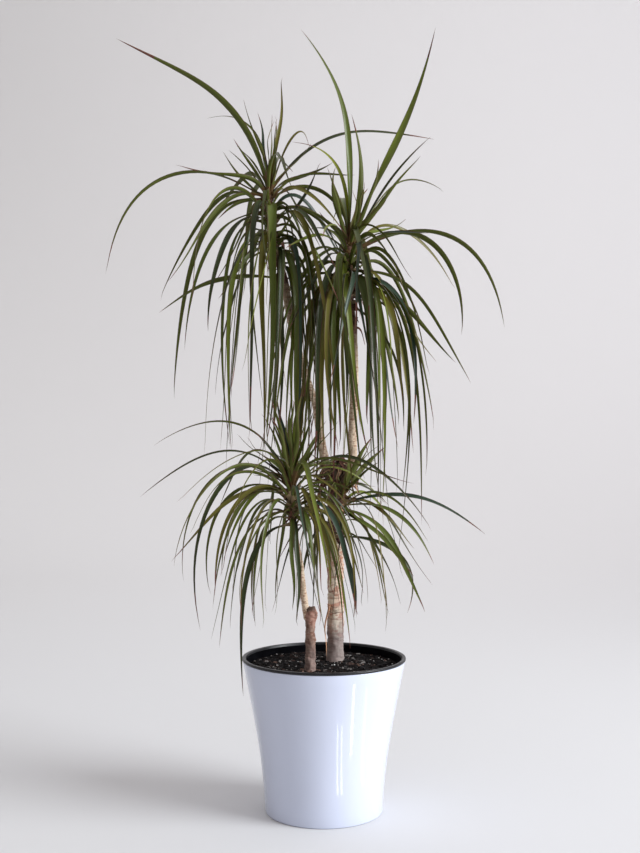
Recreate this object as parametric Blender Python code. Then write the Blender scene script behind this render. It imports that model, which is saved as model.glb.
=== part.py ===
"""A potted dragon tree: two bare canes in a tapered pot, carrying four crowns of
long narrow leaves. Metres, +Z up, origin at the centre of the pot's underside,
front of the plant towards -Y."""
import math
import random

import bmesh
import bpy
from mathutils import Vector
from mathutils.bvhtree import BVHTree

MM = 0.001
GAP = 0.0003
LEAF_CLEARANCE = 0.0006

POT_HEIGHT = 0.260
POT_RIM_RADIUS = 0.140
POT_FOOT_RADIUS = 0.101
POT_WALL = 0.004
POT_FLOOR = 0.005
SHELL_TOP = 0.2554
LINER_WALL = 0.0025
LINER_LIP_WIDTH = 0.0075
LINER_TAB_WIDTH = 0.008
SOIL_LEVEL = 0.2457
POT_SIDES = 32

CANE_SIDES = 12
STEM_SIDES = 10
CORE_SIDES = 8
TALL_CANE_RADIUS = 0.0143
SHORT_CANE_RADIUS = 0.0086
STEM_RADIUS = 0.0072
LOW_STEM_RADIUS = 0.0054
CROWN_RADIUS = 0.0085

KEEL_PER_LENGTH = 1 / 90
KEEL_MOST = 0.0048
KEEL_LEAST = 0.0024
ARCHED_RINGS = (0.0, 0.11, 0.27, 0.46, 0.66, 0.86)
STRAIGHT_RINGS = (0.0, 0.20, 0.50, 0.80)
STRAIGHT_TURN = 55
GOLDEN_ANGLE = 137.5

# Centre lines of canes and stems, each place as (x, y, z) in millimetres.
TALL_CANE = ((20, 50, 246), (21, 50, 360), (20, 51, 480), (21, 50, 592))
SHORT_CANE = ((-23, -36, 246), (-23, -36, 300), (-22, -36, 351))
LEFT_STEM = (
    (12, 50, 560), (3, 49, 592), (-5, 48, 631), (-14, 46, 693), (-32, 44, 742),
    (-46, 43, 790), (-58, 42, 843), (-70, 41, 912), (-86, 40, 968),
    (-96, 40, 1020), (-96, 40, 1080),
)
RIGHT_STEM = (
    (28, 46, 545), (42, 40, 572), (50, 35, 600), (50, 31, 640), (52, 27, 700),
    (53, 24, 755), (50, 22, 826), (45, 20, 879), (44, 20, 950), (46, 20, 990),
)
SHORT_CANE_SHOOT = (
    (-24, -36, 322), (-30, -36, 344), (-35, -36, 378), (-40, -35, 420),
    (-46, -34, 453), (-51, -34, 480), (-54, -34, 505), (-54, -34, 570),
)
SIDE_SHOOT = (
    (16, 44, 418), (14, 34, 434), (14, 27, 456), (18, 24, 486), (25, 21, 511),
    (35, 18, 540), (38, 17, 552),
)

# Age of a leaf in its crown: youngest and upright at 0, oldest and hanging at 1.
# Reach and rise in millimetres, lift and fall in degrees above the level.
AGES = (0.0, 0.10, 0.24, 0.42, 0.65, 1.0)
AGE_REACH = (22, 80, 150, 140, 100, 70)
AGE_RISE = (125, 120, 5, -170, -320, -345)
AGE_LIFT = (86, 72, 62, 54, 46, 36)
AGE_FALL = (84, 45, -42, -76, -88, -92)
AGE_WIDTH = (8, 10, 11, 11.5, 11, 10)

# Leaves dealt out by the rule reach this share further towards the front and the
# back, so that a crown is about as deep as its outline leaves make it wide.
DEPTH_REACH = 0.55

# Leaves that give a crown its outline: height of the root, heading, reach and
# rise to the tip, lift at the root, fall at the tip, twist, width, and for some
# how far the tip swings aside. A crown's fill is how many more the rule deals
# out, and its wide stretches how far they reach.
LEFT_CROWN = dict(
    name="left_crown", stem=LEFT_STEM, top=1078, floor=905, splits=(1040, 995),
    radius=CROWN_RADIUS, scale=1.0, wide=1.0, fill=50, start=40, seed=5,
    leaves=(
        (1060, 190, 264, 263, 80, 23, 50, 18),
        (1052, 176, 290, -128, 37, -82, 25, 10),
        (1064, 160, 120, 146, 88, -6, 0, 5),
        (1064, 40, 27, 214, 84, 90, 0, 9),
        (1062, 130, 32, 155, 84, 72, 20, 8),
        (1058, 165, 74, 90, 56, 40, 0, 5),
        (1048, 190, 80, 88, 42, 56, 0, 6),
        (1056, 205, 184, -160, 14, -50, 35, 14),
        (1049, 170, 170, -345, 18, -88, 15, 12),
        (1030, 195, 146, -246, 0, -86, 0, 9),
        (1026, 212, 116, -212, 0, -88, 30, 12),
        (1012, 200, 68, -400, 20, -98, 0, 8),
        (914, 185, 216, -62, 6, -38, 15, 11),
        (970, 215, 112, -100, -2, -48, 0, 9),
        (1030, 278, 80, -412, 34, -92, 0, 21, -14),
        (1034, 253, 78, -395, 36, -95, 10, 15),
        (1031, 320, 112, -320, 20, -80, 25, 15),
        (1066, 12, 304, 112, 57, -8, 20, 11),
        (1052, 10, 152, -72, 40, -74, 10, 10),
        (974, 335, 89, 137, 56, 62, 20, 12),
        (1066, 20, 74, 86, 74, -75, 0, 6),
        (1030, 358, 115, -45, 26, -50, 15, 9),
        (1028, 325, 140, -110, 20, -60, 25, 11),
        (1018, 318, 95, -388, 12, -96, 20, 16),
        (986, 333, 95, -380, 15, -86, -20, 13),
        (960, 320, 80, -360, 10, -85, 10, 12),
        (935, 308, 60, -330, 25, -93, 0, 15, -14),
        (925, 262, 56, -310, 5, -90, 0, 12),
        (960, 286, 62, -340, 30, -92, 10, 13, -34),
        (990, 224, 88, -380, 12, -97, 20, 11),
        (985, 258, 72, -385, 28, -95, 0, 14, 8),
        (1058, 82, 255, 70, 66, -22, 0, 11),
        (1046, 104, 262, -130, 46, -78, 0, 11),
    ),
)
RIGHT_CROWN = dict(
    name="right_crown", stem=RIGHT_STEM, top=985, floor=815, splits=(942, 890),
    radius=CROWN_RADIUS, scale=1.0, wide=1.0, fill=48, start=10, seed=8,
    leaves=(
        (970, 175, 84, 382, 90, 51, 35, 18),
        (962, 355, 148, 386, 71, 78, 55, 21),
        (968, 350, 1, 232, 78, 106, 20, 12),
        (966, 320, 61, 145, 66, 82, 0, 9),
        (968, 10, 146, 201, 60, 42, 0, 7),
        (964, 340, 126, 152, 56, 46, 0, 9),
        (964, 25, 190, 116, 60, -30, 0, 6),
        (968, 315, 142, -74, 62, -52, 0, 9),
        (952, 355, 265, -129, 32, -83, 0, 11),
        (948, 345, 193, -140, 42, -95, 40, 14),
        (922, 5, 213, -193, 8, -60, 0, 9),
        (894, 350, 182, -132, 2, -45, 30, 12),
        (900, 15, 160, -132, -2, -48, 20, 8),
        (895, 335, 137, -326, 18, -93, 20, 11),
        (898, 0, 123, -417, 22, -90, 0, 9),
        (900, 322, 108, -372, 24, -99, 40, 15),
        (960, 287, 95, -150, 74, -88, 60, 12),
        (956, 200, 22, 150, 88, 112, 0, 10),
        (948, 212, 125, 5, 55, -32, 0, 12),
        (932, 185, 95, -50, 28, -50, 10, 9),
        (966, 170, 102, 190, 90, 8, 0, 8),
        (884, 300, 104, -400, 10, -72, 10, 10),
        (900, 243, 78, -300, 30, -90, 0, 14),
        (906, 235, 80, -300, 30, -90, 10, 15),
        (888, 320, 74, -260, 12, -90, 20, 12),
        (928, 232, 95, -350, 25, -88, 10, 13),
        (912, 190, 85, -330, 20, -86, -20, 12),
        (876, 225, 70, -350, 10, -88, 0, 12),
        (938, 248, 90, -374, 38, -88, 10, 17, 62),
        (925, 312, 64, -318, 42, -90, 10, 17, 4),
        (905, 302, 54, -250, 34, -95, 0, 18),
        (902, 335, 116, -246, 22, -98, 30, 12),
        (895, 325, 105, -200, 15, -88, 25, 15),
        (905, 205, 72, -300, 24, -92, 10, 15),
        (964, 96, 225, 90, 70, -25, 0, 10),
        (950, 76, 245, -140, 46, -80, 0, 11),
    ),
)
FRONT_CROWN = dict(
    name="front_crown", stem=SHORT_CANE_SHOOT, top=566, floor=478, splits=(527,),
    radius=0.0068, scale=0.66, wide=1.45, fill=34, start=75, seed=3,
    leaves=(
        (557, 170, 243, 62, 68, -34, 0, 5),
        (553, 185, 253, -19, 51, -40, 0, 6),
        (546, 175, 182, -157, 46, -97, 0, 6),
        (540, 195, 201, -109, 16, -47, 25, 9),
        (548, 200, 155, -230, 52, -103, 30, 10),
        (540, 165, 142, -175, 28, -105, 0, 8),
        (536, 205, 135, -160, 35, -90, 20, 10),
        (532, 190, 115, -130, 30, -92, 0, 7),
        (508, 190, 120, -224, 8, -84, 10, 8),
        (512, 215, 95, -165, -2, -97, 10, 10),
        (486, 200, 84, -282, 6, -96, 20, 11),
        (500, 272, 45, -150, -10, -80, 0, 7),
        (498, 285, 40, -175, -20, -88, 0, 9),
        (504, 318, 75, -202, -15, -76, 20, 11),
        (558, 150, 55, 140, 78, 62, 0, 8),
        (560, 100, 40, 155, 84, 75, 0, 7),
        (558, 50, 45, 150, 80, 80, 0, 8),
        (556, 175, 50, 120, 70, 55, 0, 6),
        (540, 350, 130, -10, 35, -30, 0, 7),
        (510, 300, 90, -180, 20, -80, 30, 12),
    ),
)
SIDE_CROWN = dict(
    name="side_crown", stem=SIDE_SHOOT, top=548, floor=454, splits=(502,),
    radius=0.0066, scale=0.55, wide=1.3, fill=18, start=20, seed=6,
    leaves=(
        (520, 350, 248, -50, 16, -38, 0, 9),
        (516, 0, 163, -103, 9, -66, 0, 9),
        (510, 340, 153, -171, -5, -66, 30, 12),
        (508, 328, 146, -105, -18, -50, 25, 10),
        (524, 20, 173, -153, 10, -48, 0, 5),
        (518, 320, 128, -161, -30, -68, 20, 11),
        (460, 350, 128, -128, 8, -112, 0, 8),
        (490, 300, 74, -153, -50, -74, 10, 11),
        (498, 315, 60, -150, -25, -94, 0, 9),
        (530, 5, 125, -90, 0, -50, 10, 8),
        (535, 345, 62, 58, 50, 30, 20, 9),
        (540, 20, 30, 60, 65, 60, 0, 8),
        (532, 200, 32, 50, 60, 55, 0, 7),
        (466, 335, 80, -56, 22, -60, 0, 5),
    ),
)
CROWNS = (LEFT_CROWN, RIGHT_CROWN, FRONT_CROWN, SIDE_CROWN)

# A withered leaf left on the tall cane, hanging to the soil.
DRY_LEAF = (342, 225, 15, -88, -62, -98, 50, 8)


def pot_radius(height):
    """Outside radius of the pot's flared side at a height."""
    t = min(max(height / POT_HEIGHT, 0.0), 1.0)
    foot_part = (2 * t ** 3 - 3 * t ** 2 + 1) * POT_FOOT_RADIUS
    rim_part = (3 * t ** 2 - 2 * t ** 3) * POT_RIM_RADIUS
    foot_slope = (t ** 3 - 2 * t ** 2 + t) * 0.005
    rim_slope = (t ** 3 - t ** 2) * 0.050
    return foot_part + rim_part + foot_slope + rim_slope


def centre_line(places, height):
    """Point of a smooth line through places, at a height in metres."""
    spots = [Vector(place) * MM for place in places]
    last = len(spots) - 2
    index = 0
    while index < last and height > spots[index + 1].z:
        index += 1
    low, high = spots[index], spots[index + 1]
    before = spots[index - 1] if index > 0 else low
    after = spots[index + 2] if index + 2 < len(spots) else high
    span = high.z - low.z
    t = (height - low.z) / span
    result = Vector((0.0, 0.0, height))
    for axis in (0, 1):
        slope_low = (high[axis] - before[axis]) / (high.z - before.z)
        slope_high = (after[axis] - low[axis]) / (after.z - low.z)
        value = (2 * t ** 3 - 3 * t ** 2 + 1) * low[axis]
        value += (3 * t ** 2 - 2 * t ** 3) * high[axis]
        value += (t ** 3 - 2 * t ** 2 + t) * span * slope_low
        value += (t ** 3 - t ** 2) * span * slope_high
        result[axis] = value
    return result


def blend(table, age):
    """Value of an age table at an age."""
    for index in range(len(AGES) - 1):
        if age <= AGES[index + 1]:
            part = (age - AGES[index]) / (AGES[index + 1] - AGES[index])
            return table[index] * (1 - part) + table[index + 1] * part
    return table[-1]


def leaf_curve(root, leaf):
    """Four control points of a leaf's midline, and its length."""
    heading, reach, rise, lift, fall = leaf[1:6]
    turn = math.radians(heading)
    outward = Vector((math.cos(turn), math.sin(turn), 0.0))
    upward = Vector((0.0, 0.0, 1.0))
    reach = reach * MM
    rise = rise * MM
    chord = math.hypot(reach, rise)
    bend = 0.42 / math.cos(math.radians(abs(lift - fall)) / 4) ** 2
    first = bend * (chord if rise > 0 else reach - 0.25 * rise)
    second = bend * chord
    up, down = math.radians(lift), math.radians(fall)
    tip = root + outward * reach + upward * rise
    after_root = root + (outward * math.cos(up) + upward * math.sin(up)) * first
    before_tip = tip - (outward * math.cos(down) + upward * math.sin(down)) * second
    points = (root, after_root, before_tip, tip)
    steps = [curve_point(points, index / 12) for index in range(13)]
    length = sum((steps[index + 1] - steps[index]).length for index in range(12))
    return points, length


def curve_point(points, t):
    s = 1 - t
    return (points[0] * s ** 3 + points[1] * (3 * s * s * t)
            + points[2] * (3 * s * t * t) + points[3] * t ** 3)


def leaf_width(share):
    """Blade width along a leaf as a share of its full width."""
    swell = 0.62 + 0.38 * math.sin(min(share / 0.26, 1.0) * math.pi / 2)
    taper = 1.0 - max(0.0, (share - 0.26) / 0.74) ** 1.5
    return swell * (0.06 + 0.94 * taper)


def leaf_solid(root, leaf, sway=0.0, extra=0.0):
    """Corners and faces of one keeled leaf, closed at root and tip."""
    points, length = leaf_curve(root, leaf)
    turn = math.radians(leaf[1])
    across = Vector((-math.sin(turn), math.cos(turn), 0.0))
    twist = math.radians(leaf[6])
    full = leaf[7] * MM
    depth = min(max(length * KEEL_PER_LENGTH, KEEL_LEAST), KEEL_MOST)
    rings = STRAIGHT_RINGS if abs(leaf[4] - leaf[5]) < STRAIGHT_TURN else ARCHED_RINGS
    corners = []
    for share in rings:
        here = curve_point(points, share) + across * sway * share * share
        ahead = curve_point(points, share + 0.03)
        behind = curve_point(points, max(share - 0.03, 0.0))
        along = (ahead - behind).normalized()
        normal = along.cross(across).normalized()
        angle = twist * min(share * 2.2, 1.0)
        side = across * math.cos(angle) + normal * math.sin(angle)
        under = along.cross(side)
        if under.dot(normal) > 0:
            under = -under
        half = full * leaf_width(share) / 2 + extra
        keel = depth * (1.0 - 0.35 * share ** 2) + extra
        corners.append(here + side * half - under * (keel * 0.35 + extra))
        corners.append(here - side * half - under * (keel * 0.35 + extra))
        corners.append(here + under * keel * 0.65)
    corners.append(curve_point(points, 1.0) + across * sway)
    faces = [(0, 1, 2)]
    for ring in range(len(rings) - 1):
        for corner in range(3):
            a = ring * 3 + corner
            b = ring * 3 + (corner + 1) % 3
            faces.append((a, a + 3, b))
            faces.append((b, a + 3, b + 3))
    tip = len(corners) - 1
    for corner in range(3):
        faces.append((tip - 3 + corner, tip, tip - 3 + (corner + 1) % 3))
    return corners, faces


def crown_core_radius(crown, height):
    """Radius of the leaf-covered stem inside a crown."""
    top = crown["top"] * MM
    floor = crown["floor"] * MM
    share = (height - floor) / (top - floor)
    return crown["radius"] * (1.0 - 0.12 * share - 0.45 * max(0.0, share - 0.7) ** 1.2)


def fill_leaf(crown, index, attempt, chance):
    """One leaf dealt out by the crown's rule: age from its place in the order."""
    age = ((index + 0.5) / crown["fill"]) ** 1.05
    scale = crown["scale"]
    span = crown["top"] - crown["floor"]
    height = crown["top"] - 12 - (span - 18) * age
    heading = crown["start"] + index * GOLDEN_ANGLE + chance.uniform(-14, 14)
    heading += attempt * chance.uniform(-9, 9)
    reach = blend(AGE_REACH, age) * scale * crown["wide"] * chance.uniform(0.7, 1.3)
    reach *= 1.0 + DEPTH_REACH * abs(math.sin(math.radians(heading)))
    rise = blend(AGE_RISE, age) * scale * chance.uniform(0.60, 1.18)
    rise += chance.uniform(-30, 30) * scale
    lift = blend(AGE_LIFT, age) + chance.uniform(-9, 9)
    fall = blend(AGE_FALL, age) + chance.uniform(-8, 8)
    twist = chance.uniform(-35, 35)
    width = blend(AGE_WIDTH, age) * chance.uniform(0.75, 1.15) * (0.3 + 0.7 * scale)
    sway = chance.uniform(-0.042, 0.042) * scale
    return (height, heading % 360, reach, rise, lift, fall, twist, width), sway


def box_of(corners):
    low = [min(corner[axis] for corner in corners) for axis in range(3)]
    high = [max(corner[axis] for corner in corners) for axis in range(3)]
    return low, high


def boxes_meet(one, other):
    for axis in range(3):
        if one[0][axis] > other[1][axis] or other[0][axis] > one[1][axis]:
            return False
    return True


def keep(kept, name, corners, faces):
    """Remember a solid, so that leaves of other pieces keep clear of it."""
    tree = BVHTree.FromPolygons([tuple(c) for c in corners], faces)
    kept.append((name, tree, box_of(corners)))


def is_clear(kept, name, corners, faces):
    box = box_of(corners)
    tree = BVHTree.FromPolygons([tuple(c) for c in corners], faces)
    for other_name, other_tree, other_box in kept:
        if other_name != name and boxes_meet(box, other_box):
            if tree.overlap(other_tree):
                return False
    return True


def tube_solid(places, low, high, radius_at, sides, rings):
    """Closed tube with level ends that follows a centre line."""
    corners = []
    for ring in range(rings + 1):
        height = low + (high - low) * ring / rings
        centre = centre_line(places, height)
        radius = radius_at(height)
        for side in range(sides):
            angle = 2 * math.pi * side / sides
            offset = Vector((math.cos(angle), math.sin(angle), 0.0)) * radius
            corners.append(centre + offset)
    faces = []
    for ring in range(rings):
        for side in range(sides):
            a = ring * sides + side
            b = ring * sides + (side + 1) % sides
            faces.append((a, b, b + sides, a + sides))
    faces.append(tuple(reversed(range(sides))))
    faces.append(tuple(range(rings * sides, (rings + 1) * sides)))
    return corners, faces


def lathe_solid(profile, sides):
    """Closed solid turned about the vertical axis from a closed outline."""
    corners = []
    rows = []
    for radius, height in profile:
        if radius < 1e-6:
            rows.append([len(corners)] * sides)
            corners.append(Vector((0.0, 0.0, height)))
            continue
        row = []
        for side in range(sides):
            angle = 2 * math.pi * side / sides
            row.append(len(corners))
            corners.append(Vector((math.cos(angle) * radius, math.sin(angle) * radius, height)))
        rows.append(row)
    faces = []
    for step in range(len(rows)):
        one, other = rows[step], rows[(step + 1) % len(rows)]
        if one[0] == one[1] and other[0] == other[1]:
            continue
        for side in range(sides):
            after = (side + 1) % sides
            ring = [one[side], one[after], other[after], other[side]]
            face = [corner for place, corner in enumerate(ring) if corner != ring[place - 1]]
            faces.append(tuple(face))
    return corners, faces


def colour(name, red, green, blue, roughness, metallic=0.0):
    material = bpy.data.materials.new(name)
    material.use_nodes = True
    shader = material.node_tree.nodes["Principled BSDF"]
    shader.inputs["Base Color"].default_value = (red, green, blue, 1.0)
    shader.inputs["Roughness"].default_value = roughness
    shader.inputs["Metallic"].default_value = metallic
    material.diffuse_color = (red, green, blue, 1.0)
    return material


def add_object(name, solid, material=None, smooth=False):
    corners, faces = solid
    mesh = bpy.data.meshes.new(name)
    mesh.from_pydata([tuple(corner) for corner in corners], [], faces)
    work = bmesh.new()
    work.from_mesh(mesh)
    bmesh.ops.recalc_face_normals(work, faces=work.faces)
    for face in work.faces:
        face.smooth = smooth
    work.to_mesh(mesh)
    work.free()
    thing = bpy.data.objects.new(name, mesh)
    bpy.context.scene.collection.objects.link(thing)
    if material:
        mesh.materials.append(material)
    return thing


def apply_modifiers(thing):
    bpy.ops.object.select_all(action="DESELECT")
    thing.select_set(True)
    bpy.context.view_layer.objects.active = thing
    for modifier in list(thing.modifiers):
        bpy.ops.object.modifier_apply(modifier=modifier.name)


def trim(thing, cutter_solid):
    """Cut a solid away from a piece."""
    cutter = add_object(thing.name + "_cutter", cutter_solid)
    cut = thing.modifiers.new("trim", "BOOLEAN")
    cut.operation = "DIFFERENCE"
    cut.solver = "EXACT"
    cut.object = cutter
    apply_modifiers(thing)
    bpy.data.objects.remove(cutter)


def join_leaves(thing, leaf_solids):
    """Fuse leaves onto their piece of crown stem with one union."""
    group = bpy.data.collections.new(thing.name + "_leaves")
    bpy.context.scene.collection.children.link(group)
    for number, solid in enumerate(leaf_solids):
        leaf = add_object(thing.name + "_leaf_" + str(number), solid)
        bpy.context.scene.collection.objects.unlink(leaf)
        group.objects.link(leaf)
    union = thing.modifiers.new("leaves", "BOOLEAN")
    union.operation = "UNION"
    union.operand_type = "COLLECTION"
    union.solver = "MANIFOLD"
    union.collection = group
    apply_modifiers(thing)
    for leaf in list(group.objects):
        bpy.data.objects.remove(leaf)
    bpy.data.collections.remove(group)


def tall_cane_radius(height, extra=0.0):
    foot = (height - SOIL_LEVEL) / 0.012
    top = max(0.0, (height - 0.574) / 0.018)
    body = TALL_CANE_RADIUS * (1.0 - 0.05 * (height - SOIL_LEVEL) / 0.35)
    return body + 0.0014 * math.exp(-foot) - 0.0035 * top ** 2 + extra


def short_cane_radius(height, extra=0.0):
    foot = (height - SOIL_LEVEL) / 0.012
    collar = math.exp(-((height - 0.334) / 0.009) ** 2)
    stub = 1.0 / (1.0 + math.exp(-(height - 0.343) / 0.0012))
    body = SHORT_CANE_RADIUS + 0.0012 * math.exp(-foot) + 0.0016 * collar - 0.0016 * stub
    return body + extra


def stem_radius(low, thick, thin, swell):
    """Radius rule of a stem: swollen where it leaves its cane, then slender."""
    def rule(height):
        rise = height - low
        return thin + (thick - thin) * math.exp(-rise / swell)
    return rule


def build_pot(colours):
    heights = [0.045, 0.100, 0.155, 0.205, SHELL_TOP - 0.0012]
    outer = [(pot_radius(height), height) for height in heights]
    shell = [(0.0, 0.0), (POT_FOOT_RADIUS - 0.004, 0.0), (POT_FOOT_RADIUS - 0.0012, 0.0008)]
    shell.append((pot_radius(0.004), 0.004))
    shell += outer
    top = pot_radius(SHELL_TOP)
    shell += [(top - 0.0010, SHELL_TOP), (top - POT_WALL + 0.0008, SHELL_TOP)]
    inner = [0.250, 0.205, 0.155, 0.100, 0.045, POT_FLOOR + 0.003]
    shell += [(pot_radius(height) - POT_WALL, height) for height in inner]
    shell += [(pot_radius(POT_FLOOR) - POT_WALL - 0.003, POT_FLOOR), (0.0, POT_FLOOR)]
    add_object("pot_shell", lathe_solid(shell, POT_SIDES), colours["glaze"], True)

    floor = POT_FLOOR + GAP
    outside = POT_WALL + GAP
    liner = [(0.0, floor), (pot_radius(floor) - outside - 0.0034, floor)]
    liner.append((pot_radius(floor + 0.003) - outside - 0.0002, floor + 0.0032))
    rising = [0.045, 0.100, 0.155, 0.205, 0.246]
    liner += [(pot_radius(height) - outside - 0.0001, height) for height in rising]
    lip = SHELL_TOP + GAP
    liner += [(top - POT_WALL - 0.0012, lip), (top - 0.0004, lip)]
    liner += [(POT_RIM_RADIUS + 0.0002, lip + 0.0014), (POT_RIM_RADIUS - 0.0004, lip + 0.0034)]
    liner += [(POT_RIM_RADIUS - 0.0020, POT_HEIGHT), (POT_RIM_RADIUS - 0.0040, POT_HEIGHT)]
    inside = outside + LINER_WALL
    liner.append((POT_RIM_RADIUS - LINER_LIP_WIDTH, 0.2535))
    falling = [0.246, 0.205, 0.155, 0.100, 0.045, floor + 0.006]
    liner += [(pot_radius(height) - inside, height) for height in falling]
    liner += [(pot_radius(floor) - inside - 0.003, floor + LINER_WALL), (0.0, floor + LINER_WALL)]
    inner_pot = add_object("inner_pot", lathe_solid(liner, POT_SIDES), colours["liner"], True)
    half = LINER_TAB_WIDTH / 2
    low, high = SHELL_TOP + GAP + 0.0006, POT_HEIGHT - 0.0010
    near, far = -POT_RIM_RADIUS + 0.0020, -POT_RIM_RADIUS - 0.0024
    tab = [Vector((x, y, z)) for z in (low, high) for x, y in (
        (near, -half), (near, half), (far, half - 0.0014), (far, -half + 0.0014))]
    sides = [(0, 1, 2, 3), (4, 7, 6, 5)]
    sides += [(side, 4 + side, 4 + (side + 1) % 4, (side + 1) % 4) for side in range(4)]
    join_leaves(inner_pot, [(tab, sides)])

    edge = inside + GAP + 0.0001
    soil = [(0.0, floor + LINER_WALL + GAP)]
    soil.append((pot_radius(floor) - edge - 0.0036, floor + LINER_WALL + GAP))
    soil.append((pot_radius(floor + 0.006) - edge - 0.0002, floor + 0.0065))
    climbing = [0.045, 0.100, 0.155, 0.205, SOIL_LEVEL]
    soil += [(pot_radius(height) - edge, height) for height in climbing]
    soil.append((0.0, SOIL_LEVEL))
    add_object("soil", lathe_solid(soil, POT_SIDES), colours["soil"], True)


def build_canes(colours):
    """Canes standing on the soil and the stems that leave them."""
    bottom = SOIL_LEVEL + GAP
    solids = {}
    tall = tube_solid(TALL_CANE, bottom, 0.592, tall_cane_radius, CANE_SIDES, 9)
    short = tube_solid(SHORT_CANE, bottom, 0.351, short_cane_radius, CANE_SIDES, 6)
    tall_cane = add_object("tall_cane", tall, colours["cane"], True)
    add_object("short_cane", short, colours["cane"], True)
    dry_root = centre_line(TALL_CANE, DRY_LEAF[0] * MM) + Vector((-0.009, -0.009, 0.0))
    join_leaves(tall_cane, [leaf_solid(dry_root, DRY_LEAF)])
    solids["tall_cane"] = tall
    solids["short_cane"] = short

    def tall_cutter(height):
        return tall_cane_radius(height, GAP)

    def short_cutter(height):
        return short_cane_radius(height, GAP)

    around_tall = tube_solid(TALL_CANE, bottom, 0.592 + GAP, tall_cutter, CANE_SIDES, 9)
    around_short = tube_solid(SHORT_CANE, bottom, 0.351 + GAP, short_cutter, CANE_SIDES, 6)
    stems = (
        ("left_stem", LEFT_CROWN, 0.560, stem_radius(0.560, 0.0098, STEM_RADIUS, 0.030), around_tall, 12),
        ("right_stem", RIGHT_CROWN, 0.545, stem_radius(0.545, 0.0100, STEM_RADIUS, 0.030), around_tall, 11),
        ("short_cane_shoot", FRONT_CROWN, 0.329,
         stem_radius(0.329, 0.0078, LOW_STEM_RADIUS, 0.014), around_short, 10),
        ("side_shoot", SIDE_CROWN, 0.418, stem_radius(0.418, 0.0080, 0.0060, 0.020), around_tall, 4),
    )
    for name, crown, low, radius_at, around, rings in stems:
        high = crown["floor"] * MM - GAP
        solid = tube_solid(crown["stem"], low, high, radius_at, STEM_SIDES, rings)
        stem = add_object(name, solid, colours["stem"], True)
        trim(stem, around)
        solids[name] = solid
    return solids


def crown_tiers(crown):
    """Names and height limits of a crown's pieces, lowest first."""
    cuts = [crown["floor"]] + sorted(crown["splits"]) + [crown["top"]]
    words = ("skirt", "arching_leaves", "spears") if len(cuts) == 4 else ("skirt", "spears")
    tiers = []
    for number, word in enumerate(words):
        low = cuts[number] * MM + (GAP if number else 0.0)
        tiers.append((crown["name"] + "_" + word, low, cuts[number + 1] * MM))
    return tiers


def tier_of(tiers, height):
    for name, low, high in reversed(tiers):
        if height >= low:
            return name
    return tiers[0][0]


def deal_leaves(kept, cores):
    """Outline leaves of every crown first, then the rule's leaves; one that
    would touch another piece is tried again or left out."""
    dealt = {name: [] for name in cores}
    for stage in ("outline", "rule"):
        for crown in CROWNS:
            tiers = crown_tiers(crown)
            chance = random.Random(crown["seed"])
            count = len(crown["leaves"]) if stage == "outline" else crown["fill"]
            for index in range(count):
                tries = 1 if stage == "outline" else 16
                for attempt in range(tries):
                    if stage == "outline":
                        leaf = crown["leaves"][index]
                        sway = leaf[8] * MM if len(leaf) > 8 else 0.0
                    else:
                        leaf, sway = fill_leaf(crown, index, attempt, chance)
                    height = leaf[0] * MM
                    name = tier_of(tiers, height)
                    turn = math.radians(leaf[1])
                    outward = Vector((math.cos(turn), math.sin(turn), 0.0))
                    root = centre_line(crown["stem"], height) + outward * 0.0025
                    fat = leaf_solid(root, leaf, sway, LEAF_CLEARANCE)
                    if is_clear(kept, name, *fat):
                        solid = leaf_solid(root, leaf, sway)
                        keep(kept, name, *solid)
                        dealt[name].append(solid)
                        break
    return dealt


def build_crowns(colours, solids):
    kept = []
    rim = [(0.0, 0.0), (POT_FOOT_RADIUS, 0.0), (POT_RIM_RADIUS + 0.003, POT_HEIGHT)]
    rim += [(POT_RIM_RADIUS - 0.009, SOIL_LEVEL), (0.0, SOIL_LEVEL)]
    keep(kept, "pot", *lathe_solid(rim, POT_SIDES))
    for name, solid in solids.items():
        keep(kept, name, *solid)
    cores = {}
    for crown in CROWNS:
        def radius_at(height, crown=crown):
            return crown_core_radius(crown, height)
        for name, low, high in crown_tiers(crown):
            core = tube_solid(crown["stem"], low, high - 1e-5, radius_at, CORE_SIDES, 1)
            cores[name] = core
            keep(kept, name, *core)
    dealt = deal_leaves(kept, cores)
    for name, core in cores.items():
        mass = add_object(name, core, colours["leaf"])
        join_leaves(mass, dealt[name])


def main():
    for thing in list(bpy.data.objects):
        bpy.data.objects.remove(thing)
    colours = {
        "glaze": colour("white_gloss", 0.80, 0.81, 0.84, 0.12),
        "liner": colour("dark_liner", 0.020, 0.021, 0.023, 0.45),
        "soil": colour("bark_soil", 0.045, 0.030, 0.022, 0.95),
        "cane": colour("cane_bark", 0.36, 0.25, 0.17, 0.80),
        "stem": colour("young_bark", 0.55, 0.41, 0.28, 0.75),
        "leaf": colour("leaf_green", 0.055, 0.095, 0.030, 0.45),
    }
    build_pot(colours)
    solids = build_canes(colours)
    build_crowns(colours, solids)


if __name__ == "__main__":
    main()
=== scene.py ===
"""Looks of a potted dragon tree: a white pot with its black growing pot, soil, two
old canes, their stems and four crowns of long narrow leaves, on a plain stage.
Metres, +Z up, origin at the centre of the pot's underside, front towards -Y."""
import math
import random

import bmesh
import bpy
from bpy.props import FloatProperty, FloatVectorProperty, IntProperty, PointerProperty
from mathutils import Matrix, Vector, noise
from mathutils.bvhtree import BVHTree


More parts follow.
